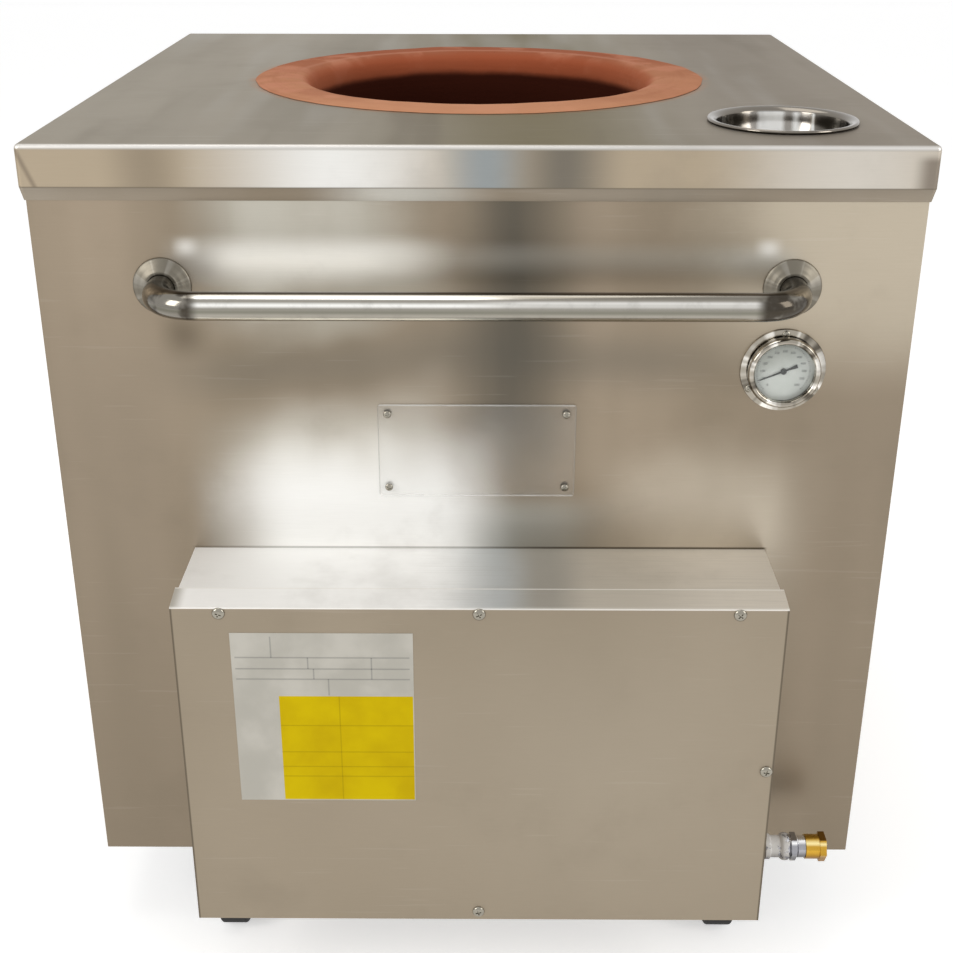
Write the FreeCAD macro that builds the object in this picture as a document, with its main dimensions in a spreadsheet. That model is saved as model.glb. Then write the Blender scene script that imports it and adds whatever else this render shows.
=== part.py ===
"""Clay tandoor oven: a stainless cabinet on casters round a gas-fired clay pot.

Row frame: millimetres, +Z up from the floor, +X to the viewer's right, +Y to the back.
The origin is on the floor under the middle of the oven's outline, front gas box included.
"""
import FreeCAD, Part
import math
import os
import re
import Sketcher
from FreeCAD import Vector

SIZES = {
    # Cabinet and its folded lid
    "lid_width": 864,           # 34 in square top
    "lid_depth": 864,
    "cabinet_height": 808,      # lower edge of the panels to the top of the lid
    "caster_height": 106,       # floor to the underside of the frame
    "lid_sheet": 1.5,
    "lid_bend": 4.5,            # outer radius of the folded top edge
    "lid_corner": 5,            # upright corners of the lid
    "skirt_height": 40,         # upright part of the lid's edge
    "lid_return": 13,           # height of the sloping strip below it
    "return_step": 3.4,         # how far that strip leans in
    "panel_inset": 5,           # lid edge to panel face
    "panel_sheet": 1.2,
    "box_sheet": 1.0,
    "seat_gap": 0.3,            # loose seat between curved or lifted pieces
    "running_gap": 0.05,        # radial clearance of a turning fit
    # Frame
    "frame_leg": 30,
    "frame_wall": 3,
    "rail_width": 64,
    "air_hole_radius": 45,
    # Clay pot, its rim and the insulation
    "mouth_radius": 198,        # 15 1/2 in clear mouth
    "pot_wall": 38,
    "rim_rise": 5,              # rim above the lid
    "rim_round": 12,
    "throat_depth": 32,
    "belly_radius": 285,
    "belly_height": 405,        # widest place above the panels' lower edge
    "foot_radius": 235,
    "pot_floor": 40,
    "pot_hole_radius": 110,     # flame and air come up through it
    "collar_radius": 268,       # outer edge of the smeared clay rim
    "collar_depth": 26,
    "lid_hole_radius": 252,
    "blanket_thickness": 25,
    "fill_height": 700,         # loose fill above the floor pan
    "wall_space": 12,           # air space inside the panels
    "seat_height": 95,
    "seat_inner_radius": 125,
    "seat_outer_radius": 262,
    # Dip bowl in the lid
    "bowl_from_side": 125,
    "bowl_from_front": 128,
    "bowl_rim_radius": 75.5,
    "bowl_radius": 66,
    "bowl_floor_radius": 34,
    "bowl_depth": 60,
    "bowl_wall": 0.8,
    "bowl_lift": 4,             # height of the rolled rim
    "bowl_collar": 8,           # straight part of the bowl below the lid
    "bowl_curve": 72,
    "bowl_lip": 4,              # flare at the bowl's mouth
    # Towel bar
    "bar_radius": 13.5,
    "bar_wall": 1.5,
    "bar_span": 610,            # 24 in between flange centres
    "bar_standoff": 65,
    "bar_bend": 42,
    "bar_height": 671,
    "flange_radius": 28.5,
    "flange_depth": 9,
    "flange_nose": 3,           # flat ring next to the bar
    "flange_slope": 8,          # width of the sloping edge
    # Thermometer
    "gauge_from_side": 129,
    "gauge_height": 587,
    "gauge_flange_radius": 42.5,
    "gauge_flange": 2.5,
    "gauge_case_radius": 32.5,
    "gauge_case_wall": 1.5,
    "gauge_front": 9,           # case rim in front of the panel
    "gauge_back": 16,
    "bezel_radius": 36,
    "bezel_window": 29.3,
    "bezel_depth": 5,
    "bezel_round": 2,
    "bezel_skirt": 3,           # how far the bezel laps over the case
    "glass_thickness": 1.5,
    "dial_depth": 5,            # dial behind the case rim
    "dial_thickness": 0.8,
    "needle_thickness": 0.8,
    "needle_length": 25,
    "needle_tail": 14.5,
    "needle_half": 0.9,         # half its width at the hub
    "needle_tip_half": 0.3,
    "needle_tail_half": 2,
    "needle_hub_radius": 3,
    "needle_angle": 202.6,      # rest pointing low on the left
    "gauge_screw_circle": 37.5,
    "stem_radius": 4,
    "stem_length": 95,
    # Name plate
    "plate_width": 200,
    "plate_height": 100,
    "plate_thickness": 3,
    "plate_centre_height": 499.5,
    "plate_screw_margin": 10,
    # Gas box on the front
    "box_x": 3,
    "box_width": 602.8,
    "box_depth": 123,           # panel face to cover face
    "box_lift": 3,              # cover's lower edge above the panels' lower edge
    "hood_top": 388,
    "hood_run": 31,             # sloped front strip of the hood
    "hood_fall": 5,
    "hood_margin": 3,           # cover's overhang past the hood's sides
    "lip_width": 18,
    "cover_return": 15,
    "cover_screw_pitch": 254,
    "cover_screw_margin": 6,
    "side_screw_height": 195.5,
    "low_screw_height": 13.5,
    "label_left": -242,
    "label_width": 180,
    "label_low": 158.5,
    "label_height": 198,
    "label_thickness": 0.4,
    # Gas train
    "line_standoff": 65,        # gas line in front of the panel face
    "line_height": 56,
    "pipe_radius": 10.7,
    "pipe_bore": 7.8,
    "elbow_bend": 20,
    "thread_depth": 4,          # how far a pipe goes into a fitting
    "union_start": 15,          # along the line from the hood's side
    "union_length": 44,
    "union_radius": 12,
    "union_collar": 6,          # end collar that the pipe goes into
    "union_ring_radius": 15,
    "union_ring_start": 16,
    "union_ring": 12,           # length of the bulging ring with its sloped ends
    "union_hex": 27,
    "union_hex_start": 28,
    "union_hex_length": 6,
    "union_groove": 1,
    "adapter_length": 22,
    "adapter_radius": 13.4,
    "adapter_bore": 8.5,
    "adapter_hex": 28,
    "adapter_hex_length": 7,
    "burner_valve_start": 40,
    "burner_valve_length": 50,
    "burner_valve_radius": 17,
    "valve_hex": 29,
    "valve_hex_length": 12,
    "valve_boss_radius": 9,
    "valve_boss_reach": 28,
    "valve_stem_radius": 4,
    "valve_stem_reach": 40,
    "knob_radius": 19,
    "knob_depth": 16,
    "knob_chamfer": 3,
    "knob_grip": 6,             # width and height of the bar across the knob
    "nipple_length": 20,
    "safety_width": 70,
    "safety_depth": 50,
    "safety_below": 28,
    "safety_above": 38,
    "safety_round": 5,
    "safety_port": 6,           # length of the bosses for the pilot's lines
    "button_radius": 8,
    "button_cap_radius": 11,
    "button_cap": 4,
    "button_neck": 4,           # stem in front of the valve with the button pressed
    "button_reach": 14,
    "button_travel": 6,
    "button_end_gap": 2,
    "pilot_pipe_radius": 3,
    "lead_radius": 2,
    "pilot_spacing": 16,        # pilot flame to thermocouple tip
    "pilot_length": 26,
    "pilot_half": 6,
    "pilot_nozzle": 6,
    "pilot_bracket": 3,
    "pilot_post": 10,
    "probe_length": 34,
    "probe_radius": 3,
    "pilot_lead_in": 20,        # straight run in front of the seat
    "pilot_cross_run": 120,     # slanted run from the valve to the tube
    "pilot_to_socket": 12,
    # Burner
    "tube_radius": 19,
    "tube_wall": 3,
    "tube_reach": 17,           # front end of the tube before the panel face
    "tube_flange_radius": 27,
    "tube_flange": 3,
    "tube_taper": 6,
    "window_circle": 17,
    "window_radius": 4.5,
    "shutter_thickness": 1.5,
    "shutter_tab_half": 5,
    "shutter_tab": 9,
    "spud_radius": 7,
    "spud_hex": 17,
    "spud_hex_length": 12,
    "spud_length": 10,
    "spud_nose": 6,
    "spud_nose_radius": 4,
    "orifice_radius": 1,
    "burner_radius": 80,
    "burner_height": 42,
    "burner_foot": 8,
    "burner_foot_radius": 8,
    "burner_foot_circle": 66,
    "burner_shoulder": 10,      # height of the head's sloping edge
    "burner_slope": 12,
    "socket_radius": 24,
    "socket_length": 32,
    "port_radius": 2,
    "port_circle": 62,
    "port_depth": 6,
    "port_count": 24,
    "deflector_radius": 92,
    "deflector_sheet": 6,
    "deflector_leg": 46,
    "deflector_fall": 8,
    "deflector_leg_radius": 6,
    # Casters
    "caster_from_side": 149,
    "caster_from_panel": 47,
    "caster_plate_width": 64,
    "caster_plate_length": 92,
    "caster_plate": 3,
    "caster_bolt_width": 42,
    "caster_bolt_length": 64,
    "race_radius": 26,
    "race_height": 6,
    "kingpin_radius": 6,
    "crown_radius": 24,
    "crown_thickness": 4,
    "fork_wall": 3,
    "fork_inset": 7,            # fork leg's root inside the crown's edge
    "fork_end": 9,              # metal round the axle
    "wheel_radius": 38,
    "wheel_width": 32,
    "tread_round": 4,
    "tread_depth": 9,
    "web_inset": 6,
    "hub_width": 34.4,
    "hub_radius": 12,
    "axle_radius": 5,
    "axle_head": 4,
    "axle_nut": 5,
    "trail": 38,                # wheel centre behind the kingpin
    # Fasteners
    "bolt_radius": 4,
    "bolt_hex": 13,
    "bolt_head": 5.3,
    "screw_radius": 2.4,
    "screw_head_radius": 6.4,
    "screw_head": 3,
    "screw_length": 12,
    "small_screw_radius": 1.6,
    "small_screw_head_radius": 4,
    "small_screw_head": 2,
    "small_screw_length": 8,
}

PLACES = {
    "base": "caster_height",
    "top": "caster_height + cabinet_height",
    "under_lid": "top - lid_sheet",
    "rim_top": "top + rim_rise",
    "front_reach": "box_depth - panel_inset + screw_head",
    "lid_front": "-(lid_depth - front_reach)/2",
    "lid_back": "lid_front + lid_depth",
    "mouth_y": "(lid_front + lid_back)/2",
    "panel_front": "lid_front + panel_inset",
    "panel_back": "lid_back - panel_inset",
    "panel_side": "lid_width/2 - panel_inset",
    "inner_front": "panel_front + panel_sheet",
    "inner_back": "panel_back - panel_sheet",
    "inner_side": "panel_side - panel_sheet",
    "pan_top": "base + frame_leg + panel_sheet",
    "pot_bottom": "pan_top + seat_height",
    "pot_inside": "pot_bottom + pot_floor",
    "throat_low": "rim_top - throat_depth",
    "belly_z": "base + belly_height",
    "shoulder_curve": "((belly_radius - mouth_radius)^2 + (throat_low - belly_z)^2)"
                      "/(2*(belly_radius - mouth_radius))",
    "foot_curve": "((belly_radius - foot_radius)^2 + (belly_z - pot_inside)^2)"
                  "/(2*(belly_radius - foot_radius))",
    "neck_radius": "mouth_radius + pot_wall + seat_gap",
    "fill_top": "pan_top + fill_height",
    "bowl_x": "lid_width/2 - bowl_from_side",
    "bowl_y": "lid_front + bowl_from_front",
    "bar_z": "base + bar_height",
    "gauge_x": "lid_width/2 - gauge_from_side",
    "gauge_z": "base + gauge_height",
    "plate_z": "base + plate_centre_height",
    "line_y": "panel_front - line_standoff",
    "line_z": "base + line_height",
    "cover_front": "panel_front - box_depth",
    "lip_front": "cover_front + box_sheet",
    "box_low": "base + box_lift",
    "cover_half": "box_width/2",
    "hood_half": "box_width/2 - hood_margin",
    "hood_bend_y": "lip_front + hood_run",
    "hood_low": "box_low + box_sheet + seat_gap",
    "hood_z": "base + hood_top",
    "hood_front_z": "hood_z - hood_fall",
    "flange_rear_z": "hood_z + seat_gap + box_sheet",
    "cover_top": "flange_rear_z - hood_fall*(hood_run + box_sheet)/hood_run",
    "hood_side": "box_x + hood_half",
    "tube_front": "panel_front - tube_reach",
    "burner_front": "mouth_y - burner_radius",
    "spud_back": "tube_front - shutter_thickness - 2*seat_gap",
    "safety_left": "burner_valve_start + burner_valve_length + nipple_length",
    "safety_right": "safety_left + safety_width",
    "safety_front": "line_y - safety_depth/2",
    "safety_back": "line_y + safety_depth/2",
    "union_x": "hood_side + union_start",
    "adapter_x": "union_x + union_length",
    "caster_x": "lid_width/2 - caster_from_side",
    "front_caster_y": "panel_front + caster_from_panel",
    "back_caster_y": "panel_back - caster_from_panel",
    "gauge_rim_y": "panel_front - gauge_front",
    "dial_y": "gauge_rim_y + dial_depth",
}

doc = FreeCAD.newDocument("clay_oven")
sizes = doc.addObject("Spreadsheet::Sheet", "sizes")
places = doc.addObject("App::VarSet", "places")
homes = {}
nodes = {}


def formula(text):
    """Spell out where each named value of a formula lives."""
    return re.sub(r"[A-Za-z_]\w*", lambda word: homes.get(word.group(), "") + word.group(), str(text))


def value(text):
    """What a formula gives, as a number."""
    return float(sizes.evalExpression(formula(text)))


def fill_the_sheet():
    for row, (name, number) in enumerate(SIZES.items(), start=1):
        sizes.set(f"A{row}", name)
        sizes.set(f"B{row}", str(number))
        sizes.setAlias(f"B{row}", name)
        homes[name] = "sizes."
    doc.recompute()
    for name, text in PLACES.items():
        places.addProperty("App::PropertyFloat", name, "Places")
        homes[name] = "places."
        places.setExpression(name, formula(text))
        doc.recompute()


def bind(thing, **formulas):
    """Tie properties of an object to formulas; a double underscore stands for a dot."""
    for name, text in formulas.items():
        thing.setExpression(name.replace("__", "."), formula(text))


def new_body(name, x=0, y=0, z=0, keep=True):
    """An empty body whose own origin lies at x, y, z. A kept body is a sub-part."""
    body = doc.addObject("PartDesign::Body", name)
    body.Label = name
    bind(body, Placement__Base__x=x, Placement__Base__y=y, Placement__Base__z=z)
    if keep:
        nodes[name] = body
    return body


def drawing(body, across, at):
    """An empty sketch square to axis "X", "Y" or "Z", at a place along it."""
    role = {"X": "YZ_Plane", "Y": "XZ_Plane", "Z": "XY_Plane"}[across]
    plane = next(item for item in body.Origin.OriginFeatures if item.Role == role)
    sketch = body.newObject("Sketcher::SketchObject", "drawing")
    sketch.AttachmentSupport = [(plane, "")]
    sketch.MapMode = "FlatFace"
    bind(sketch, AttachmentOffset__Base__z=f"-({at})" if across == "Y" else at)
    return sketch


def pin_down(sketch, edge, end, x, y):
    """Hold one end of an edge at x, y from the sketch's origin."""
    for kind, text in (("DistanceX", x), ("DistanceY", y)):
        number = sketch.addConstraint(Sketcher.Constraint(kind, -1, 1, edge, end, value(text)))
        sketch.setExpression(f"Constraints[{number}]", formula(text))


def draw_line(sketch, corners, closed=True):
    """Lines through corners (x, y). A corner (x, y, radius, side) starts an arc instead,
    with its centre to the left of the way to the next corner for side 1, right for -1."""
    spots = [Vector(value(corner[0]), value(corner[1]), 0) for corner in corners]
    ends = []
    count = len(corners) if closed else len(corners) - 1
    for index in range(count):
        start = spots[index]
        stop = spots[(index + 1) % len(spots)]
        if len(corners[index]) == 2:
            edge = sketch.addGeometry(Part.LineSegment(start, stop))
            ends.append((edge, 1, 2))
            continue
        radius = value(corners[index][2])
        side = corners[index][3]
        along = stop - start
        left = Vector(-along.y, along.x, 0) * (1 / along.Length)
        rise = math.sqrt(max(radius ** 2 - (along.Length / 2) ** 2, 0))
        centre = (start + stop) * 0.5 + left * (side * rise)
        first, last = (start, stop) if side > 0 else (stop, start)
        angles = [math.atan2(spot.y - centre.y, spot.x - centre.x) for spot in (first, last)]
        circle = Part.Circle(centre, Vector(0, 0, 1), radius)
        edge = sketch.addGeometry(Part.ArcOfCircle(circle, angles[0], angles[1]))
        number = sketch.addConstraint(Sketcher.Constraint("Radius", edge, radius))
        sketch.setExpression(f"Constraints[{number}]", formula(corners[index][2]))
        ends.append((edge, 1, 2) if side > 0 else (edge, 2, 1))
    for index in range(count):
        edge, start, stop = ends[index]
        pin_down(sketch, edge, start, corners[index][0], corners[index][1])
        if closed or index + 1 < count:
            after = ends[(index + 1) % count]
            sketch.addConstraint(Sketcher.Constraint("Coincident", edge, stop, after[0], after[1]))
        else:
            pin_down(sketch, edge, stop, corners[-1][0], corners[-1][1])


def draw_circle(sketch, x, y, radius):
    centre = Vector(value(x), value(y), 0)
    edge = sketch.addGeometry(Part.Circle(centre, Vector(0, 0, 1), value(radius)))
    number = sketch.addConstraint(Sketcher.Constraint("Radius", edge, value(radius)))
    sketch.setExpression(f"Constraints[{number}]", formula(radius))
    pin_down(sketch, edge, 3, x, y)


def draw(sketch, loops):
    """Loops are circles ("circle", x, y, radius) or lists of corners."""
    for loop in loops:
        if loop[0] == "circle":
            draw_circle(sketch, *loop[1:])
        else:
            draw_line(sketch, loop)


def rectangle(left, right, low, high):
    return [(left, low), (right, low), (right, high), (left, high)]


def hexagon(x, y, flats):
    """Six corners of a nut that measures `flats` across."""
    return [(f"{x} + ({flats})/sqrt(3)*cos({turn})", f"{y} + ({flats})/sqrt(3)*sin({turn})")
            for turn in range(0, 360, 60)]


def add(body, across, start, end, *loops):
    """Material between two places along an axis."""
    sketch = drawing(body, across, end if across == "Y" else start)
    draw(sketch, loops)
    feature = body.newObject("PartDesign::Pad", "pad")
    feature.Profile = sketch
    bind(feature, Length=f"({end}) - ({start})")
    return feature


def cut(body, across, start, end, *loops):
    """Material taken away between two places along an axis."""
    doc.recompute()
    before = body.Shape.Volume
    sketch = drawing(body, across, start if across == "Y" else end)
    draw(sketch, loops)
    feature = body.newObject("PartDesign::Pocket", "pocket")
    feature.Profile = sketch
    bind(feature, Length=f"({end}) - ({start})")
    doc.recompute()
    if body.Shape.Volume > before - 0.01:
        raise ValueError(f"a cut in {body.Label} takes nothing away")
    return feature


def turn(body, around, corners, kind="PartDesign::Revolution"):
    """Material turned round an axis of the body. Corners are (radius, along)."""
    if around == "X":
        corners = [(item[1], item[0]) + tuple(item[2:3]) + tuple(-side for side in item[3:])
                   for item in corners]
    sketch = drawing(body, "Z" if around == "Y" else "Y", 0)
    draw_line(sketch, corners)
    feature = body.newObject(kind, "turned")
    feature.Profile = sketch
    feature.ReferenceAxis = (sketch, ["H_Axis" if around == "X" else "V_Axis"])
    feature.Angle = 360
    return feature


def loft(body, kind, sections):
    """A straight-sided run between two rectangles, each (height, corners)."""
    sketches = []
    for height, corners in sections:
        sketch = drawing(body, "Z", height)
        draw_line(sketch, corners)
        sketches.append(sketch)
    feature = body.newObject(kind, "loft")
    feature.Profile = sketches[0]
    feature.Sections = sketches[1:]
    feature.Ruled = True
    return feature


def tube(body, height, route, radius, bore=None, corner="Transformed"):
    """A pipe along a flat route at one height that starts out along Y."""
    path = drawing(body, "Z", height)
    draw_line(path, route, closed=False)
    section = drawing(body, "Y", route[0][1])
    draw_circle(section, route[0][0], height, radius)
    if bore:
        draw_circle(section, route[0][0], height, bore)
    feature = body.newObject("PartDesign::AdditivePipe", "pipe")
    feature.Profile = section
    feature.Spine = path
    feature.Transition = corner
    return feature


def fillet(body, radius, wanted):
    """Round the edges that `wanted` picks."""
    doc.recompute()
    base = body.Tip
    names = [f"Edge{number}" for number, edge in enumerate(base.Shape.Edges, start=1) if wanted(edge)]
    feature = body.newObject("PartDesign::Fillet", "fillet")
    feature.Base = (base, names)
    bind(feature, Radius=radius)
    doc.recompute()
    return feature


def lies_at(edge, height):
    """Whether an edge lies level at a height."""
    box = edge.BoundBox
    return abs(box.ZMin - value(height)) < 0.01 and box.ZLength < 0.01


def lies_across(edge, depth):
    """Whether an edge lies square to Y at a depth."""
    box = edge.BoundBox
    return abs(box.YMin - value(depth)) < 0.01 and box.YLength < 0.01


def upright(edge):
    box = edge.BoundBox
    return box.XLength < 0.01 and box.YLength < 0.01 and box.ZLength > 1


def scatter(name, copies):
    """A sub-part of equal loose pieces. Copies are (model, x, y, z, turn about Z)."""
    links = []
    for model, x, y, z, angle in copies:
        link = doc.addObject("App::Link", f"{name}_copy")
        link.LinkedObject = model
        link.Placement = FreeCAD.Placement(Vector(), FreeCAD.Rotation(Vector(0, 0, 1), angle))
        bind(link, Placement__Base__x=x, Placement__Base__y=y, Placement__Base__z=z)
        links.append(link)
    group = doc.addObject("Part::Compound", name)
    group.Label = name
    group.Links = links
    nodes[name] = group


# Cabinet ---------------------------------------------------------------------------------


def lid_outline(inward):
    """The lid's edge seen from above, moved inward, with its four corners rounded."""
    side = f"(lid_width/2 - ({inward}))"
    front = f"(lid_front + ({inward}))"
    back = f"(lid_back - ({inward}))"
    bend = f"(lid_corner - ({inward}))"
    return [(f"-{side} + {bend}", front), (f"{side} - {bend}", front, bend, 1),
            (side, f"{front} + {bend}"), (side, f"{back} - {bend}", bend, 1),
            (f"{side} - {bend}", back), (f"-{side} + {bend}", back, bend, 1),
            (f"-{side}", f"{back} - {bend}"), (f"-{side}", f"{front} + {bend}", bend, 1)]


def top_cover():
    """One folded sheet: top, upright skirt and a strip that leans back to the panels."""
    body = new_body("top_cover")
    skirt_low = "top - skirt_height"
    return_low = "top - skirt_height - lid_return"
    loft(body, "PartDesign::AdditiveLoft",
         [(return_low, lid_outline("return_step")), (skirt_low, lid_outline("0"))])
    add(body, "Z", skirt_low, "top", lid_outline("0"))
    fillet(body, "lid_bend", lambda edge: lies_at(edge, "top"))
    loft(body, "PartDesign::SubtractiveLoft",
         [(return_low, lid_outline("return_step + lid_sheet")), (skirt_low, lid_outline("lid_sheet"))])
    cut(body, "Z", skirt_low, "under_lid", lid_outline("lid_sheet"))
    fillet(body, "lid_bend - lid_sheet", lambda edge: lies_at(edge, "under_lid"))
    cut(body, "Z", "under_lid - 1", "top + 1",
        ("circle", 0, "mouth_y", "lid_hole_radius"),
        ("circle", "bowl_x", "bowl_y", "bowl_radius + 3*seat_gap"))


def panels():
    """Front and back run full width; the sides stand between them."""
    front = new_body("front_panel")
    add(front, "Y", "panel_front", "inner_front",
        rectangle("-panel_side", "panel_side", "base", "under_lid"))
    cut(front, "Y", "panel_front", "inner_front",
        ("circle", "gauge_x", "gauge_z", "gauge_case_radius + seat_gap"),
        rectangle("-tube_radius - wall_space", "safety_right", "pan_top + seat_gap",
                  "line_z + safety_above + wall_space"),
        *[("circle", x, z, "small_screw_radius + running_gap") for x, z in small_screw_spots()])
    back = new_body("back_panel")
    add(back, "Y", "inner_back", "panel_back",
        rectangle("-panel_side", "panel_side", "base", "under_lid"))
    for name, inner, outer in (("left_panel", "-panel_side", "-inner_side"),
                               ("right_panel", "inner_side", "panel_side")):
        side = new_body(name)
        add(side, "X", inner, outer, rectangle("inner_front", "inner_back", "base", "under_lid"))


def angle_profile():
    return [(0, 0), ("frame_leg", 0), ("frame_leg", "frame_wall"), ("frame_wall", "frame_wall"),
            ("frame_wall", "frame_leg"), (0, "frame_leg")]


def base_rail(name, length):
    """Angle iron along X: one leg flat inward, the other up against the panel."""
    body = new_body(name, keep=False)
    add(body, "X", f"-({length})/2", f"({length})/2", angle_profile())
    return body


def frame():
    """Angle-iron rails and posts inside the panels, and channels for the casters."""
    long_rail = base_rail("long_rail", "2*inner_side")
    cut(long_rail, "Z", 0, "frame_wall",
        *[("circle", f"{side}*caster_x + {end}*caster_bolt_width/2",
           "caster_from_panel - panel_sheet - caster_bolt_length/2", "bolt_radius + running_gap")
          for side in (-1, 1) for end in (-1, 1)])
    short_rail = base_rail("short_rail", "inner_back - inner_front - 2*frame_leg")
    scatter("base_rails", [(long_rail, 0, "inner_front", "base", 0),
                           (long_rail, 0, "inner_back", "base", 180),
                           (short_rail, "-inner_side", "mouth_y", "base", 270),
                           (short_rail, "inner_side", "mouth_y", "base", 90)])
    post = new_body("post", keep=False)
    add(post, "Z", 0, "under_lid - pan_top", angle_profile())
    scatter("corner_posts", [(post, "-inner_side", "inner_front", "pan_top", 0),
                             (post, "inner_side", "inner_front", "pan_top", 90),
                             (post, "inner_side", "inner_back", "pan_top", 180),
                             (post, "-inner_side", "inner_back", "pan_top", 270)])
    channel = new_body("channel", keep=False)
    half = "rail_width/2"
    add(channel, "Y", "inner_front + frame_leg", "inner_back - frame_leg",
        [(f"-{half}", 0), (half, 0), (half, "frame_leg"), (f"{half} - frame_wall", "frame_leg"),
         (f"{half} - frame_wall", "frame_wall"), (f"-{half} + frame_wall", "frame_wall"),
         (f"-{half} + frame_wall", "frame_leg"), (f"-{half}", "frame_leg")])
    cut(channel, "Z", 0, "frame_wall",
        *[("circle", f"{end}*caster_bolt_width/2", y, "bolt_radius + running_gap")
          for end in (-1, 1) for y in ("front_caster_y + caster_bolt_length/2",
                                       "back_caster_y - caster_bolt_length/2")])
    scatter("caster_rails", [(channel, f"{side}*caster_x", 0, "base", 0) for side in (-1, 1)])
    pan = new_body("floor_pan")
    add(pan, "Z", "base + frame_leg", "pan_top",
        rectangle("-inner_side", "inner_side", "inner_front", "inner_back"))
    cut(pan, "Z", "base + frame_leg", "pan_top", ("circle", 0, "mouth_y", "air_hole_radius"))


# Oven ------------------------------------------------------------------------------------


def flask(outward, low, high):
    """The pot's side line, moved outward, from its foot up to its neck."""
    return [(f"foot_radius + {outward}", low),
            (f"foot_radius + {outward}", "pot_inside", "foot_curve", 1),
            (f"belly_radius + {outward}", "belly_z", "shoulder_curve", 1),
            (f"mouth_radius + {outward}", "throat_low"),
            (f"mouth_radius + {outward}", high)]


def mirrored(line):
    """The same line from its neck down to its foot."""
    return [line[4], (*line[3], "shoulder_curve", -1), (*line[2][:2], "foot_curve", -1),
            line[1][:2], line[0]]


def clay_pot():
    body = new_body("clay_pot", y="mouth_y")
    inside = mirrored(flask("0", "pot_inside", "rim_top"))[:-1]
    turn(body, "Z", flask("pot_wall", "pot_bottom", "rim_top") + inside
         + [("pot_hole_radius", "pot_inside"), ("pot_hole_radius", "pot_bottom")])
    fillet(body, "rim_round", lambda edge: lies_at(edge, "rim_top")
           and edge.BoundBox.XLength < value("2*mouth_radius + 1"))


def rim_collar():
    """Clay smeared round the neck, down into the lid's hole and out over its edge."""
    body = new_body("rim_collar", y="mouth_y")
    turn(body, "Z", [("neck_radius", "top - collar_depth"),
                     ("lid_hole_radius - seat_gap", "top - collar_depth"),
                     ("lid_hole_radius - seat_gap", "top"), ("collar_radius", "top"),
                     ("collar_radius", "top + rim_rise/2", "rim_rise/2 + 0.1", 1),
                     ("collar_radius - rim_rise/2", "rim_top"),
                     ("neck_radius", "rim_top")])


def insulation():
    """A fibre blanket round the pot, and loose fill out towards the panels."""
    blanket = new_body("fibre_blanket", y="mouth_y")
    neck = "top - collar_depth - seat_gap"
    turn(blanket, "Z", flask("pot_wall + seat_gap + blanket_thickness", "pot_bottom", neck)
         + mirrored(flask("pot_wall + seat_gap", "pot_bottom", neck)))
    fill = new_body("loose_fill", y="mouth_y")
    side = "inner_side - wall_space"
    back = "inner_back - mouth_y - wall_space"
    notch = "frame_leg + 2*seat_gap - wall_space"
    add(fill, "Z", "pan_top", "fill_top",
        [(f"{x}*({side} - {dx}*({notch}))", f"{y}*({back} - {dy}*({notch}))")
         for x, y, dx, dy in ((-1, -1, 1, 0), (1, -1, 1, 0), (1, -1, 1, 1), (1, -1, 0, 1),
                              (1, 1, 0, 1), (1, 1, 1, 1), (1, 1, 1, 0), (-1, 1, 1, 0),
                              (-1, 1, 1, 1), (-1, 1, 0, 1), (-1, -1, 0, 1), (-1, -1, 1, 1))])
    outside = flask("pot_wall + 2*seat_gap + blanket_thickness", "pot_bottom - seat_gap", "fill_top + 1")
    turn(fill, "Z", outside + [(0, "fill_top + 1"), (0, "pan_top - 1"),
                               ("seat_outer_radius + seat_gap", "pan_top - 1"),
                               ("seat_outer_radius + seat_gap", "pot_bottom - seat_gap")],
         "PartDesign::Groove")
    cut(fill, "Y", "inner_front - mouth_y", "-seat_outer_radius/2",
        rectangle("-tube_radius - wall_space", "safety_right", "pan_top - 1",
                  "line_z + safety_above + wall_space"))
    cut(fill, "Y", "inner_front - mouth_y",
        "panel_front + gauge_back + stem_length + seat_gap - mouth_y",
        ("circle", "gauge_x", "gauge_z", "gauge_case_radius + seat_gap"))


def pot_seat():
    """Cast ring that the pot stands on, slotted at the front for the burner's tube."""
    body = new_body("pot_seat", y="mouth_y")
    turn(body, "Z", [("seat_inner_radius", "pan_top"), ("seat_outer_radius", "pan_top"),
                     ("seat_outer_radius", "pot_bottom"), ("seat_inner_radius", "pot_bottom")])
    cut(body, "Y", "-seat_outer_radius - 1", "-seat_inner_radius/2",
        rectangle("-tube_radius - wall_space", "socket_radius + 3*wall_space", "pan_top",
                  "line_z + safety_above + 2*lead_radius"))


# Burner and gas train --------------------------------------------------------------------


def burner_head():
    body = new_body("burner_head", y="mouth_y", z="pan_top")
    turn(body, "Z", [(0, "burner_foot"), ("burner_radius", "burner_foot"),
                     ("burner_radius", "burner_height - burner_shoulder"),
                     ("burner_radius - burner_slope", "burner_height"),
                     (0, "burner_height")])
    add(body, "Z", 0, "burner_foot",
        *[("circle", f"burner_foot_circle*cos({spot})", f"burner_foot_circle*sin({spot})",
           "burner_foot_radius") for spot in (30, 150, 270)])
    add(body, "Y", "-burner_radius - socket_length", "-burner_radius + burner_shoulder",
        ("circle", 0, "line_z - pan_top", "socket_radius"))
    cut(body, "Y", "-burner_radius - socket_length", "-burner_radius",
        ("circle", 0, "line_z - pan_top", "tube_radius + seat_gap"))
    port = cut(body, "Z", "burner_height - port_depth", "burner_height",
               ("circle", "port_circle", 0, "port_radius"))
    ring = body.newObject("PartDesign::PolarPattern", "ports")
    ring.Originals = [port]
    ring.Axis = (next(item for item in body.Origin.OriginFeatures if item.Role == "Z_Axis"), [""])
    ring.Angle = 360
    bind(ring, Occurrences="port_count")
    body.Tip = ring


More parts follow.
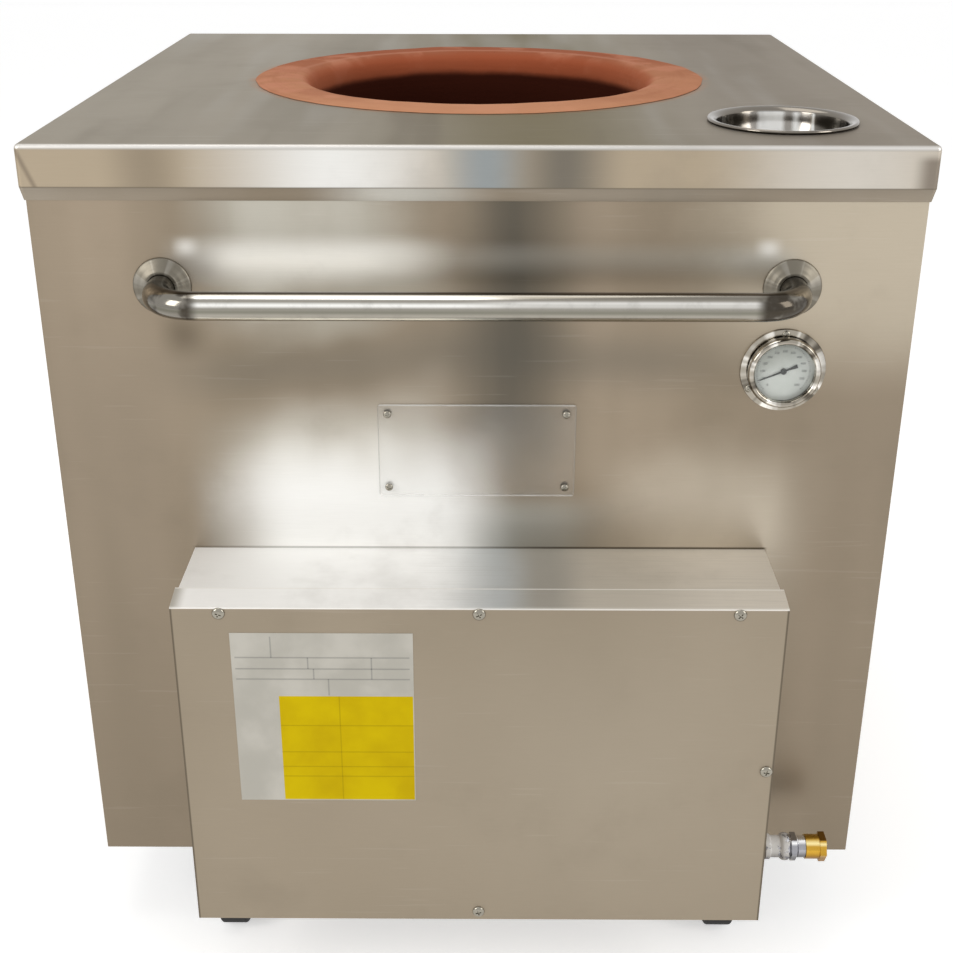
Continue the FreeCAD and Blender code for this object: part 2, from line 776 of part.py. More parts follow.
def flame_deflector():
    """Iron plate on three legs that keeps drips off the burner."""
    body = new_body("flame_deflector", y="mouth_y", z="pan_top + burner_height")
    edge = "deflector_leg - deflector_fall"
    turn(body, "Z", [(0, "deflector_leg"), ("deflector_radius", edge),
                     ("deflector_radius", f"{edge} + deflector_sheet"),
                     (0, "deflector_leg + deflector_sheet")])
    add(body, "Z", 0, "deflector_leg",
        *[("circle", f"burner_foot_circle/2*cos({spot})", f"burner_foot_circle/2*sin({spot})",
           "deflector_leg_radius") for spot in (90, 210, 330)])


def window_spots():
    """Three round air windows in the tube's flange and in the shutter."""
    return [("circle", f"window_circle*cos({spot})", f"window_circle*sin({spot})", "window_radius")
            for spot in (90, 210, 330)]


def mixer_tube():
    body = new_body("mixer_tube", y="tube_front", z="line_z")
    inner = "tube_radius - tube_wall"
    length = "burner_front - tube_front - seat_gap"
    turn(body, "Y", [("spud_radius + seat_gap", 0), ("tube_flange_radius", 0),
                     ("tube_flange_radius", "tube_flange"), ("tube_radius", "tube_flange + tube_taper"),
                     ("tube_radius", length), (inner, length), (inner, "tube_flange"),
                     ("spud_radius + seat_gap", "tube_flange")])
    cut(body, "Y", 0, "tube_flange + tube_taper/2", *window_spots())


def air_shutter():
    """Plate that turns on the orifice to open or close the air windows."""
    body = new_body("air_shutter", y="tube_front - shutter_thickness - seat_gap", z="line_z")
    add(body, "Y", 0, "shutter_thickness", ("circle", 0, 0, "tube_flange_radius"),
        ("circle", 0, 0, "spud_radius + running_gap"))
    cut(body, "Y", 0, "shutter_thickness", *window_spots())
    add(body, "Y", 0, "shutter_thickness",
        rectangle("-shutter_tab_half", "shutter_tab_half",
                  "tube_flange_radius - 1", "tube_flange_radius + shutter_tab"))


def gas_orifice():
    body = new_body("gas_orifice", y="spud_back", z="line_z")
    add(body, "Y", "-spud_hex_length", 0, hexagon("0", "0", "spud_hex"))
    nose = "spud_length + spud_nose"
    turn(body, "Y", [("orifice_radius", 0), ("spud_radius", 0), ("spud_radius", "spud_length"),
                     ("spud_nose_radius", nose), ("orifice_radius", nose)])


def pipes():
    """Iron pipe from the safety valve out through the box, and the elbow to the burner."""
    supply = new_body("supply_pipe", y="line_y", z="line_z")
    add(supply, "X", "safety_right", "union_x + thread_depth",
        ("circle", 0, 0, "pipe_radius"), ("circle", 0, 0, "pipe_bore"))
    elbow = new_body("burner_pipe")
    tube(elbow, "line_z", [(0, "spud_back - spud_hex_length"), (0, "line_y + elbow_bend", "elbow_bend", 1),
                           ("elbow_bend", "line_y"), ("burner_valve_start", "line_y")],
         "pipe_radius", "pipe_bore")


def burner_valve():
    """Brass cock with its stem to the front, and a short nipple to the safety valve."""
    body = new_body("burner_valve", y="line_y", z="line_z")
    end = "burner_valve_start + burner_valve_length"
    for low, high in (("burner_valve_start", "burner_valve_start + valve_hex_length"),
                      (f"{end} - valve_hex_length", end)):
        add(body, "X", low, high, hexagon("0", "0", "valve_hex"))
    add(body, "X", "burner_valve_start", end, ("circle", 0, 0, "burner_valve_radius"))
    add(body, "X", end, "safety_left", ("circle", 0, 0, "pipe_radius"))
    middle = "burner_valve_start + burner_valve_length/2"
    add(body, "Y", "-valve_boss_reach", 0, ("circle", middle, 0, "valve_boss_radius"))
    add(body, "Y", "-valve_stem_reach", 0, ("circle", middle, 0, "valve_stem_radius"))
    knob = new_body("valve_knob", x=middle, y="line_y - valve_boss_reach - seat_gap", z="line_z")
    flat = "knob_radius - knob_chamfer"
    turn(knob, "Y", [(0, "-knob_depth"), (flat, "-knob_depth"),
                     ("knob_radius", "-knob_depth + knob_chamfer"), ("knob_radius", 0), (0, 0)])
    add(knob, "Y", "-knob_depth - knob_grip", "-knob_depth + 1",
        rectangle(f"-({flat})", flat, "-knob_grip/2", "knob_grip/2"))
    cut(knob, "Y", "valve_boss_reach - valve_stem_reach - seat_gap", 0,
        ("circle", 0, 0, "valve_stem_radius + running_gap"))


def safety_valve():
    """Flame-failure valve: gas flows only while the thermocouple is hot."""
    body = new_body("safety_valve")
    low = "line_z - safety_below"
    high = "line_z + safety_above"
    add(body, "X", "safety_left", "safety_right", rectangle("safety_front", "safety_back", low, high))
    fillet(body, "safety_round", upright)
    middle = "(safety_left + safety_right)/2"
    height = "line_z + safety_above/2"
    cut(body, "Y", "safety_front", "safety_front + button_reach",
        ("circle", middle, height, "button_radius + running_gap"))
    add(body, "Y", "safety_back", "safety_back + safety_port",
        ("circle", pilot_x(), pilot_z(), "2*pilot_pipe_radius"),
        ("circle", lead_x(), pilot_z(), "3*lead_radius"))
    button = new_body("reset_button", x=middle, y="safety_front", z=height)
    neck = "-button_travel - button_neck"
    add(button, "Y", neck, "button_reach - button_travel - button_end_gap",
        ("circle", 0, 0, "button_radius"))
    add(button, "Y", f"{neck} - button_cap", neck, ("circle", 0, 0, "button_cap_radius"))
    fillet(button, "button_cap/4", lambda edge: lies_across(edge, f"{neck} - button_cap"))


def pilot_x():
    return "safety_left + 4*pilot_pipe_radius"


def lead_x():
    return "safety_left + 10*pilot_pipe_radius"


def pilot_z():
    return "line_z + safety_above/2"


def pilot():
    """Pilot burner beside the main burner, its gas tube and the thermocouple lead."""
    spot_y = "mouth_y - burner_radius - socket_length - pilot_to_socket"
    bend_y = "mouth_y - seat_outer_radius - pilot_lead_in"
    start_y = "safety_back + safety_port"
    near = "socket_radius + pilot_to_socket"
    far = f"{near} + pilot_spacing"
    gas = new_body("pilot_tube")
    tube(gas, pilot_z(), [(pilot_x(), start_y), (pilot_x(), f"{bend_y} - pilot_cross_run"),
                          (near, bend_y), (near, spot_y)],
         "pilot_pipe_radius", "pilot_pipe_radius/2", "Round corner")
    lead = new_body("thermocouple")
    tube(lead, pilot_z(), [(lead_x(), start_y), (lead_x(), f"{bend_y} - pilot_cross_run"),
                           (far, bend_y), (far, spot_y)], "lead_radius", None, "Round corner")
    add(lead, "Y", spot_y, f"{spot_y} + probe_length", ("circle", far, pilot_z(), "probe_radius"))
    block = new_body("pilot_burner", x=near, y=spot_y, z=pilot_z())
    half = "pilot_half"
    add(block, "Y", 0, "pilot_length", rectangle(f"-{half}", half, f"-{half}", half))
    add(block, "Y", "pilot_length", "pilot_length + pilot_nozzle", ("circle", 0, 0, "pilot_half - 1"))
    clip = "pilot_length/3"
    add(block, "Y", clip, f"{clip} + pilot_bracket",
        rectangle(f"-{half}", f"pilot_spacing + {half}", f"-{half}", half))
    cut(block, "Y", clip, f"{clip} + pilot_bracket",
        ("circle", "pilot_spacing", 0, "probe_radius + running_gap"))
    add(block, "Y", "pilot_length/2", "pilot_length/2 + pilot_post",
        rectangle(f"-{half}/2", f"{half}/2", "pan_top - line_z - safety_above/2", f"-{half}"))


def inlet():
    """Union and brass adapter where the supply hose screws on."""
    union = new_body("inlet_union", x="union_x", y="line_y", z="line_z")
    collar = "union_radius + 2*union_groove"
    socket = "pipe_radius + running_gap"
    stop = "thread_depth + seat_gap"
    ring = "union_ring_start"
    nut = "union_hex_start"
    narrow = "union_radius - union_groove"
    turn(union, "X", [(socket, 0), (collar, 0), (collar, "union_collar - union_groove"),
                      ("union_radius", "union_collar"), ("union_radius", ring),
                      ("union_ring_radius - union_groove", f"{ring} + union_ring/6"),
                      ("union_ring_radius", f"{ring} + union_ring/3"),
                      ("union_ring_radius", f"{ring} + union_ring*2/3"),
                      ("union_ring_radius - union_groove", f"{ring} + union_ring*5/6"),
                      (narrow, f"{nut} - union_groove"), (narrow, f"{nut} + union_hex_length + union_groove"),
                      ("union_radius", f"{nut} + union_hex_length + 2*union_groove"),
                      ("union_radius", "union_length"), ("pipe_bore", "union_length"),
                      ("pipe_bore", stop), (socket, stop)])
    add(union, "X", nut, f"{nut} + union_hex_length", hexagon("0", "0", "union_hex"),
        ("circle", 0, 0, "union_radius - 2*union_groove"))
    adapter = new_body("brass_adapter", x="adapter_x", y="line_y", z="line_z")
    neck = "adapter_length - adapter_hex_length"
    add(adapter, "X", 0, neck, ("circle", 0, 0, "adapter_radius"), ("circle", 0, 0, "adapter_bore"))
    add(adapter, "X", neck, "adapter_length", hexagon("0", "0", "adapter_hex"),
        ("circle", 0, 0, "adapter_bore"))


# Gas box ---------------------------------------------------------------------------------


def cover_screw_spots():
    """Three along the top, one at the right edge and one at the bottom."""
    top_row = [(f"box_x + {side}*cover_screw_pitch", "cover_top - cover_screw_margin")
               for side in (-1, 0, 1)]
    return top_row + [("box_x + cover_half - cover_screw_margin - hood_margin/2", "base + side_screw_height"),
                      ("box_x", "base + low_screw_height")]


def gas_box_hood():
    """Folded shell welded to the front panel, with lips round its open front."""
    body = new_body("gas_box_hood")
    inner_z = "hood_z - box_sheet"
    inner_front_z = "hood_front_z - box_sheet"
    add(body, "X", "box_x - hood_half", "hood_side",
        [("panel_front", "hood_low"), ("panel_front", "hood_z"), ("hood_bend_y", "hood_z"),
         ("lip_front", "hood_front_z"), ("lip_front", "hood_low")])
    cut(body, "X", "box_x - hood_half + box_sheet", "hood_side - box_sheet",
        [("panel_front + 1", "hood_low + box_sheet"), ("panel_front + 1", inner_z),
         ("hood_bend_y", inner_z), ("lip_front + box_sheet", inner_front_z),
         ("lip_front + box_sheet", "hood_low + box_sheet")])
    cut(body, "Y", "lip_front - 1", "lip_front + box_sheet + 1",
        rectangle("box_x - hood_half + lip_width", "hood_side - lip_width",
                  "hood_low + lip_width", "hood_front_z - lip_width"))
    cut(body, "Y", "lip_front - 1", "lip_front + box_sheet + 1",
        *[("circle", x, z, "screw_radius + running_gap") for x, z in cover_screw_spots()])
    cut(body, "X", "hood_side - 2*box_sheet", "hood_side + 1",
        ("circle", "line_y", "line_z", "pipe_radius + seat_gap"))


def gas_box_cover():
    """Shallow pan that closes the box; its top flange laps back over the hood."""
    body = new_body("gas_box_cover")
    left = "box_x - cover_half"
    right = "box_x + cover_half"
    add(body, "Y", "cover_front", "lip_front", rectangle(left, right, "box_low", "cover_top"))
    slope = [("cover_front", "cover_top - box_sheet"), ("cover_front", "cover_top"),
             ("hood_bend_y", "flange_rear_z"), ("hood_bend_y", "flange_rear_z - box_sheet")]
    add(body, "X", left, right, slope)
    for low, high in ((left, f"{left} + box_sheet"), (f"{right} - box_sheet", right)):
        add(body, "X", low, high,
            [("cover_front", "box_low"), ("cover_front", "cover_top - box_sheet/2"),
             ("cover_front + cover_return", "cover_top - box_sheet/2"),
             ("cover_front + cover_return", "box_low")])
    add(body, "Y", "cover_front", "cover_front + cover_return",
        rectangle(left, right, "box_low", "box_low + box_sheet"))
    fillet(body, "box_sheet", lambda edge: abs(edge.BoundBox.YMin - value("cover_front")) < 0.01
           and edge.BoundBox.YLength < 0.01 and edge.BoundBox.XLength > value("box_width - 1")
           and edge.BoundBox.ZMin > value("cover_top - 0.1"))
    cut(body, "Y", "cover_front - 1", "lip_front",
        *[("circle", x, z, "screw_radius + running_gap") for x, z in cover_screw_spots()])


def blank_label():
    """Paper sticker on the cover, left without print."""
    body = new_body("blank_label")
    add(body, "Y", "cover_front - label_thickness", "cover_front",
        rectangle("label_left", "label_left + label_width", "base + label_low",
                  "base + label_low + label_height"))


# Fittings on the front panel ---------------------------------------------------------------


def plate_screw_spots():
    return [(f"{side}*(plate_width/2 - plate_screw_margin)",
             f"plate_z + {end}*(plate_height/2 - plate_screw_margin)")
            for side in (-1, 1) for end in (-1, 1)]


def gauge_screw_spots():
    return [(f"gauge_x + gauge_screw_circle*cos({spot})", f"gauge_z + gauge_screw_circle*sin({spot})")
            for spot in (90, 210, 330)]


def small_screw_spots():
    return plate_screw_spots() + gauge_screw_spots()


def pan_screw(name, head_radius, head, radius, length):
    """Domed screw along +Y whose head bears on the plane y = 0."""
    body = new_body(name, keep=False)
    turn(body, "Y", [(0, f"-{head}"), (f"{head_radius}*0.55", f"-{head}"),
                     (f"{head_radius}*0.9", f"-{head}*0.6"), (head_radius, f"-{head}*0.2"),
                     (head_radius, 0), (radius, 0), (radius, f"{length} - 1"),
                     (f"{radius} - 1", length), (0, length)])
    return body


def screws():
    big = pan_screw("cover_screw", "screw_head_radius", "screw_head", "screw_radius", "screw_length")
    scatter("cover_screws", [(big, x, "cover_front", z, 0) for x, z in cover_screw_spots()])
    small = pan_screw("small_screw", "small_screw_head_radius", "small_screw_head",
                      "small_screw_radius", "small_screw_length")
    scatter("nameplate_screws", [(small, x, "panel_front - plate_thickness", z, 0)
                                 for x, z in plate_screw_spots()])
    scatter("gauge_screws", [(small, x, "panel_front - gauge_flange", z, 0)
                             for x, z in gauge_screw_spots()])


def nameplate():
    """Clear acrylic plate, left without print."""
    body = new_body("nameplate")
    add(body, "Y", "panel_front - plate_thickness", "panel_front",
        rectangle("-plate_width/2", "plate_width/2", "plate_z - plate_height/2", "plate_z + plate_height/2"),
        *[("circle", x, z, "small_screw_radius + running_gap") for x, z in plate_screw_spots()])


def thermometer():
    """Case, dial, glass and bezel of the oven thermometer, and its needle."""
    case = new_body("gauge_case", x="gauge_x", y="panel_front", z="gauge_z")
    inner = "gauge_case_radius - gauge_case_wall"
    dial_back = "dial_depth - gauge_front + dial_thickness"
    turn(case, "Y", [(0, dial_back), (inner, dial_back), (inner, "-gauge_front"),
                     ("gauge_case_radius", "-gauge_front"), ("gauge_case_radius", "-gauge_flange"),
                     ("gauge_flange_radius", "-gauge_flange"), ("gauge_flange_radius", 0),
                     ("gauge_case_radius", 0), ("gauge_case_radius", "gauge_back"),
                     ("stem_radius", "gauge_back"), ("stem_radius", "gauge_back + stem_length"),
                     (0, "gauge_back + stem_length")])
    cut(case, "Y", "-gauge_flange", 0,
        *[("circle", f"gauge_screw_circle*cos({spot})", f"gauge_screw_circle*sin({spot})",
           "small_screw_radius + running_gap") for spot in (90, 210, 330)])
    dial = new_body("gauge_dial", x="gauge_x", y="dial_y", z="gauge_z")
    add(dial, "Y", 0, "dial_thickness", ("circle", 0, 0, f"{inner} - seat_gap"))
    glass = new_body("gauge_glass", x="gauge_x", y="gauge_rim_y", z="gauge_z")
    add(glass, "Y", "-glass_thickness", 0, ("circle", 0, 0, f"{inner} + gauge_case_wall/2"))
    round_ = "bezel_round"
    bezel = new_body("gauge_bezel", x="gauge_x", y="gauge_rim_y", z="gauge_z")
    turn(bezel, "Y", [("bezel_window", "-glass_thickness"),
                      ("bezel_window", f"-bezel_depth + {round_}", round_, 1),
                      (f"bezel_window + {round_}", "-bezel_depth"),
                      (f"bezel_radius - {round_}", "-bezel_depth", round_, 1),
                      ("bezel_radius", f"-bezel_depth + {round_}"),
                      ("bezel_radius", "bezel_skirt"), ("gauge_case_radius + seat_gap", "bezel_skirt"),
                      ("gauge_case_radius + seat_gap", 0), (f"{inner} + gauge_case_wall/2 + seat_gap", 0),
                      (f"{inner} + gauge_case_wall/2 + seat_gap", "-glass_thickness")])
    needle = new_body("gauge_needle", x="gauge_x", y="dial_y", z="gauge_z")
    front = "-2*seat_gap - needle_thickness"

    def on_dial(along, aside):
        return (f"{along}*cos(needle_angle) - {aside}*sin(needle_angle)",
                f"{along}*sin(needle_angle) + {aside}*cos(needle_angle)")

    one_side = [on_dial("needle_length", "needle_tip_half"), on_dial("0", "needle_half"),
                on_dial("-needle_tail/2", "needle_half"), on_dial("-needle_tail", "needle_tail_half")]
    other_side = [on_dial("-needle_tail", "-needle_tail_half"), on_dial("-needle_tail/2", "-needle_half"),
                  on_dial("0", "-needle_half"), on_dial("needle_length", "-needle_tip_half")]
    add(needle, "Y", front, "-2*seat_gap", one_side + other_side)
    add(needle, "Y", f"{front} - needle_thickness", "-seat_gap", ("circle", 0, 0, "needle_hub_radius"))


def towel_bar():
    """Bent tube whose ends meet the panel inside two round covers."""
    half = "bar_span/2"
    front = "panel_front - bar_standoff"
    bar = new_body("handle_bar")
    tube(bar, "bar_z", [(f"-{half}", "panel_front"), (f"-{half}", f"{front} + bar_bend", "bar_bend", 1),
                        (f"-{half} + bar_bend", front), (f"{half} - bar_bend", front, "bar_bend", 1),
                        (half, f"{front} + bar_bend"), (half, "panel_front")],
         "bar_radius", "bar_radius - bar_wall")
    flange = new_body("flange", keep=False)
    bore = "bar_radius + seat_gap"
    turn(flange, "Y", [(bore, 0), (bore, "-flange_depth"), ("bar_radius + flange_nose", "-flange_depth"),
                       ("flange_radius - flange_slope", "-flange_depth*0.8"),
                       ("flange_radius - flange_slope*0.75", "-flange_depth/2"),
                       ("flange_radius - flange_slope/4", "-flange_depth/3"),
                       ("flange_radius", "-flange_depth/6"), ("flange_radius", 0)])
    scatter("handle_flanges", [(flange, f"{side}*{half}", "panel_front", "bar_z", 0) for side in (-1, 1)])


def dip_bowl():
    """Polished bowl that hangs in the lid by its rolled rim."""
    body = new_body("dip_bowl", x="bowl_x", y="bowl_y", z="top")
    inner = "bowl_radius - bowl_wall"
    edge = "2*bowl_wall"
    turn(body, "Z", [(0, "-bowl_depth"), ("bowl_floor_radius", "-bowl_depth", "bowl_curve", 1),
                     ("bowl_radius", "-bowl_collar"), ("bowl_radius", "seat_gap"),
                     ("bowl_rim_radius", "seat_gap"), ("bowl_rim_radius", f"bowl_lift - {edge}", edge, 1),
                     (f"bowl_rim_radius - {edge}", "bowl_lift"),
                     ("bowl_radius + bowl_lip", "bowl_lift", "1.5*bowl_lip", 1), (inner, "-bowl_wall"),
                     (inner, "-bowl_collar", "bowl_curve", -1),
                     ("bowl_floor_radius", "-bowl_depth + bowl_wall"), (0, "-bowl_depth + bowl_wall")])


# Casters ---------------------------------------------------------------------------------


def bolt_spots():
    return [(f"{side}*caster_bolt_width/2", f"{end}*caster_bolt_length/2")
            for side in (-1, 1) for end in (-1, 1)]


def corners():
    return [(name, f"{side}*caster_x", y) for name, side, y in
            (("front_left", -1, "front_caster_y"), ("front_right", 1, "front_caster_y"),
             ("back_left", -1, "back_caster_y"), ("back_right", 1, "back_caster_y"))]


def caster_mounts():
    """Top plates with their swivel races, and the bolts that hold them to the frame."""
    plate = new_body("swivel_plate", keep=False)
    add(plate, "Z", "-caster_plate", 0,
        rectangle("-caster_plate_width/2", "caster_plate_width/2",
                  "-caster_plate_length/2", "caster_plate_length/2"))
    add(plate, "Z", "-caster_plate - race_height", "-caster_plate", ("circle", 0, 0, "race_radius"))
    cut(plate, "Z", "-caster_plate - race_height", 0, ("circle", 0, 0, "kingpin_radius + running_gap"))
    cut(plate, "Z", "-caster_plate", 0,
        *[("circle", x, y, "bolt_radius + running_gap") for x, y in bolt_spots()])
    scatter("caster_plates", [(plate, x, y, "base", 0) for _, x, y in corners()])
    bolt = new_body("bolt", keep=False)
    add(bolt, "Z", "-caster_plate - bolt_head", "-caster_plate", hexagon("0", "0", "bolt_hex"))
    add(bolt, "Z", "-caster_plate", "frame_wall + 1.5*bolt_head", ("circle", 0, 0, "bolt_radius"))
    nut = new_body("nut", keep=False)
    add(nut, "Z", "frame_wall", "frame_wall + 1.2*bolt_head", hexagon("0", "0", "bolt_hex"),
        ("circle", 0, 0, "bolt_radius + running_gap"))
    scatter("caster_bolts", [(piece, f"{x} + {dx}", f"{y} + {dy}", "base", 0) for _, x, y in corners()
                             for dx, dy in bolt_spots() for piece in (bolt, nut)])


def caster(corner, x, y):
    """Swivelling fork, its axle bolt and the wheel, with the wheel towed to the front."""
    crown = "-caster_plate - race_height - seat_gap"
    under = f"{crown} - crown_thickness"
    axle_z = "wheel_radius - caster_height"
    leg = "(hub_width/2 + seat_gap)"
    fork = new_body(f"caster_fork_{corner}", x, y, "base")
    add(fork, "Z", under, crown, ("circle", 0, 0, "crown_radius"))
    add(fork, "Z", crown, "-1", ("circle", 0, 0, "kingpin_radius"))
    root = "(crown_radius - fork_inset)"
    reach = "(axle_radius + fork_end)"
    for low, high in ((f"-{leg} - fork_wall", f"-{leg}"), (leg, f"{leg} + fork_wall")):
        add(fork, "X", low, high,
            [(f"-{root}", crown), (f"-trail - {reach}", f"{axle_z} + axle_radius"),
             (f"-trail - {reach} + 3", f"{axle_z} - fork_end"),
             (f"-trail + {reach} - 3", f"{axle_z} - fork_end"),
             (f"-trail + {reach}", f"{axle_z} + axle_radius/2"), (root, under), (root, crown)])
    cut(fork, "X", f"-{leg} - fork_wall", f"{leg} + fork_wall",
        ("circle", "-trail", axle_z, "axle_radius + running_gap"))
    axle = new_body(f"caster_axle_{corner}", x, f"{y} - trail", f"base + {axle_z}")
    outer = f"{leg} + fork_wall"
    add(axle, "X", f"-({outer})", outer, ("circle", 0, 0, "axle_radius"))
    add(axle, "X", f"-({outer}) - axle_head", f"-({outer})", hexagon("0", "0", "bolt_hex + 2"))
    add(axle, "X", outer, f"{outer} + axle_nut", hexagon("0", "0", "bolt_hex + 2"))
    wheel = new_body(f"caster_wheel_{corner}", x, f"{y} - trail", f"base + {axle_z}")
    bore = "axle_radius + running_gap"
    tread = "wheel_width/2"
    web = "(wheel_width/2 - web_inset)"
    side = "wheel_radius - tread_depth"
    turn(wheel, "X", [(bore, "-hub_width/2"), ("hub_radius", "-hub_width/2"), ("hub_radius", f"-{web}"),
                      (side, f"-{web}"), (f"{side} + 2", f"-{tread}"),
                      ("wheel_radius - tread_round", f"-{tread}", "tread_round", 1),
                      ("wheel_radius", f"-{tread} + tread_round"),
                      ("wheel_radius", f"{tread} - tread_round", "tread_round", 1),
                      ("wheel_radius - tread_round", tread), (f"{side} + 2", tread), (side, web),
                      ("hub_radius", web),
                      ("hub_radius", "hub_width/2"), (bore, "hub_width/2")])


# Build, test and write ---------------------------------------------------------------------


def build():
    fill_the_sheet()
    top_cover()
    panels()
    frame()
    clay_pot()
    rim_collar()
    insulation()
    pot_seat()
    burner_head()
    flame_deflector()
    mixer_tube()
    air_shutter()
    gas_orifice()
    pipes()
    burner_valve()
    safety_valve()
    pilot()
    inlet()
    gas_box_hood()
    gas_box_cover()
    blank_label()
    screws()
    nameplate()
    thermometer()
    towel_bar()
    dip_bowl()
    caster_mounts()
    for corner, x, y in corners():
        caster(corner, x, y)
    doc.recompute()


def test_and_write():
    for item in doc.Objects:
        if any(state in ("Invalid", "Error") for state in item.State):
            raise ValueError(f"{item.Name} ({item.Label}) failed: {item.State}")
    for name, item in nodes.items():
        if item.Shape.isNull() or not item.Shape.isValid() or not item.Shape.Solids:
            raise ValueError(f"{name} has no sound shape")
    os.makedirs("parts", exist_ok=True)
    for name, item in nodes.items():
        item.Shape.exportStep(f"parts/{name}.step")
    print(len(nodes), "sub-parts")


build()
test_and_write()
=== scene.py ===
"""Looks of the clay tandoor oven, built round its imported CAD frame. Metres, in the frame's own axes."""
import math
import bmesh
import bpy
from mathutils import Matrix, Vector


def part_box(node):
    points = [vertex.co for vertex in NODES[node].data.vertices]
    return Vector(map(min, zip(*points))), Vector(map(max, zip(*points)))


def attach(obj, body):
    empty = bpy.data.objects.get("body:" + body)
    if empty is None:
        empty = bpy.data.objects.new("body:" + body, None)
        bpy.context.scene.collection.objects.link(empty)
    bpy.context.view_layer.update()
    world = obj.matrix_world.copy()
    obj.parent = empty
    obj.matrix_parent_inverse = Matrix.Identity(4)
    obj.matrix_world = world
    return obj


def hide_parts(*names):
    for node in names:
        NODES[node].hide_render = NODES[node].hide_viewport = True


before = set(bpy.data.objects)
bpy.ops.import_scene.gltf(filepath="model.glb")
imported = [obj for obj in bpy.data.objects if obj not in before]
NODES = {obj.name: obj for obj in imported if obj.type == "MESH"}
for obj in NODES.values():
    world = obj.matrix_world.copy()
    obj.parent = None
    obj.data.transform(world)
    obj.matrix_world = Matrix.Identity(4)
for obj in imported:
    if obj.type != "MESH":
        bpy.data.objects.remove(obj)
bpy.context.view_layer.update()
bpy.ops.object.select_all(action="DESELECT")

LID_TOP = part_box("top_cover")[1].z
HOOD_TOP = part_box("gas_box_hood")[1].z
PANEL_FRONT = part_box("front_panel")[0].y

# The pot: its axis, wall, foot, floor and throat, then the belly's (radius, height) and the arcs' radii.
MOUTH = Vector((0.0, 0.0605, 0.0))
POT_WALL, POT_FOOT, THROAT = 0.038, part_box("clay_pot")[0].z, 0.887
POT_FLOOR = POT_FOOT + 0.04
BELLY, SHOULDER_ARC, FOOT_ARC = (0.285, 0.511), 0.85598, 0.59525

# The front fittings: the dial's centre, the bar's ends, height, bends and tube, and the cover's screws.
GAUGE = Vector((0.303, 0, 0.693))
BAR_END, BAR_HEIGHT, BAR_BEND, BAR_TUBE = 0.305, 0.777, 0.042, 0.0135
BIG_SCREW = 0.0064

# Steel in room light: the front sheets' two tones, then the lid's.
BEIGE, OLIVE = (0.345, 0.280, 0.208), (0.255, 0.208, 0.150)
GREY, DULL = (0.295, 0.270, 0.228), (0.225, 0.205, 0.170)


# Materials -------------------------------------------------------------------------------


class Value:
    """What a shader node gives out. Sums on it add Math nodes."""

    def __init__(self, finish, socket):
        self.finish = finish
        self.socket = socket

    def calc(self, operation, *others):
        return self.finish.node("Math", {"operation": operation}, dict(enumerate((self, *others))))

    def __add__(self, other):
        return self.calc("ADD", other)

    __radd__ = __add__

    def __mul__(self, other):
        return self.calc("MULTIPLY", other)

    def __sub__(self, other):
        return self.calc("SUBTRACT", other)

    def __rsub__(self, other):
        return self.finish.node("Math", {"operation": "SUBTRACT"}, {0: other, 1: self})

    def __truediv__(self, other):
        return self.calc("DIVIDE", other)

    def __abs__(self):
        return self.calc("ABSOLUTE")

    def ramp(self, low, high):
        """0 below low and 1 above high, smooth between. Turned round when low is above high."""
        return self.finish.node("MapRange", {"interpolation_type": "SMOOTHSTEP"},
                                {0: self, 1: low, 2: high, 3: 0.0, 4: 1.0})

    def near(self, centre, reach):
        """1 at a centre, fading to 0 at a reach from it."""
        return abs(self - centre).ramp(reach, 0.0)

    def within(self, low, high, soft=0.0004):
        """1 between two limits."""
        return self.ramp(low - soft, low + soft) * self.ramp(high + soft, high - soft)


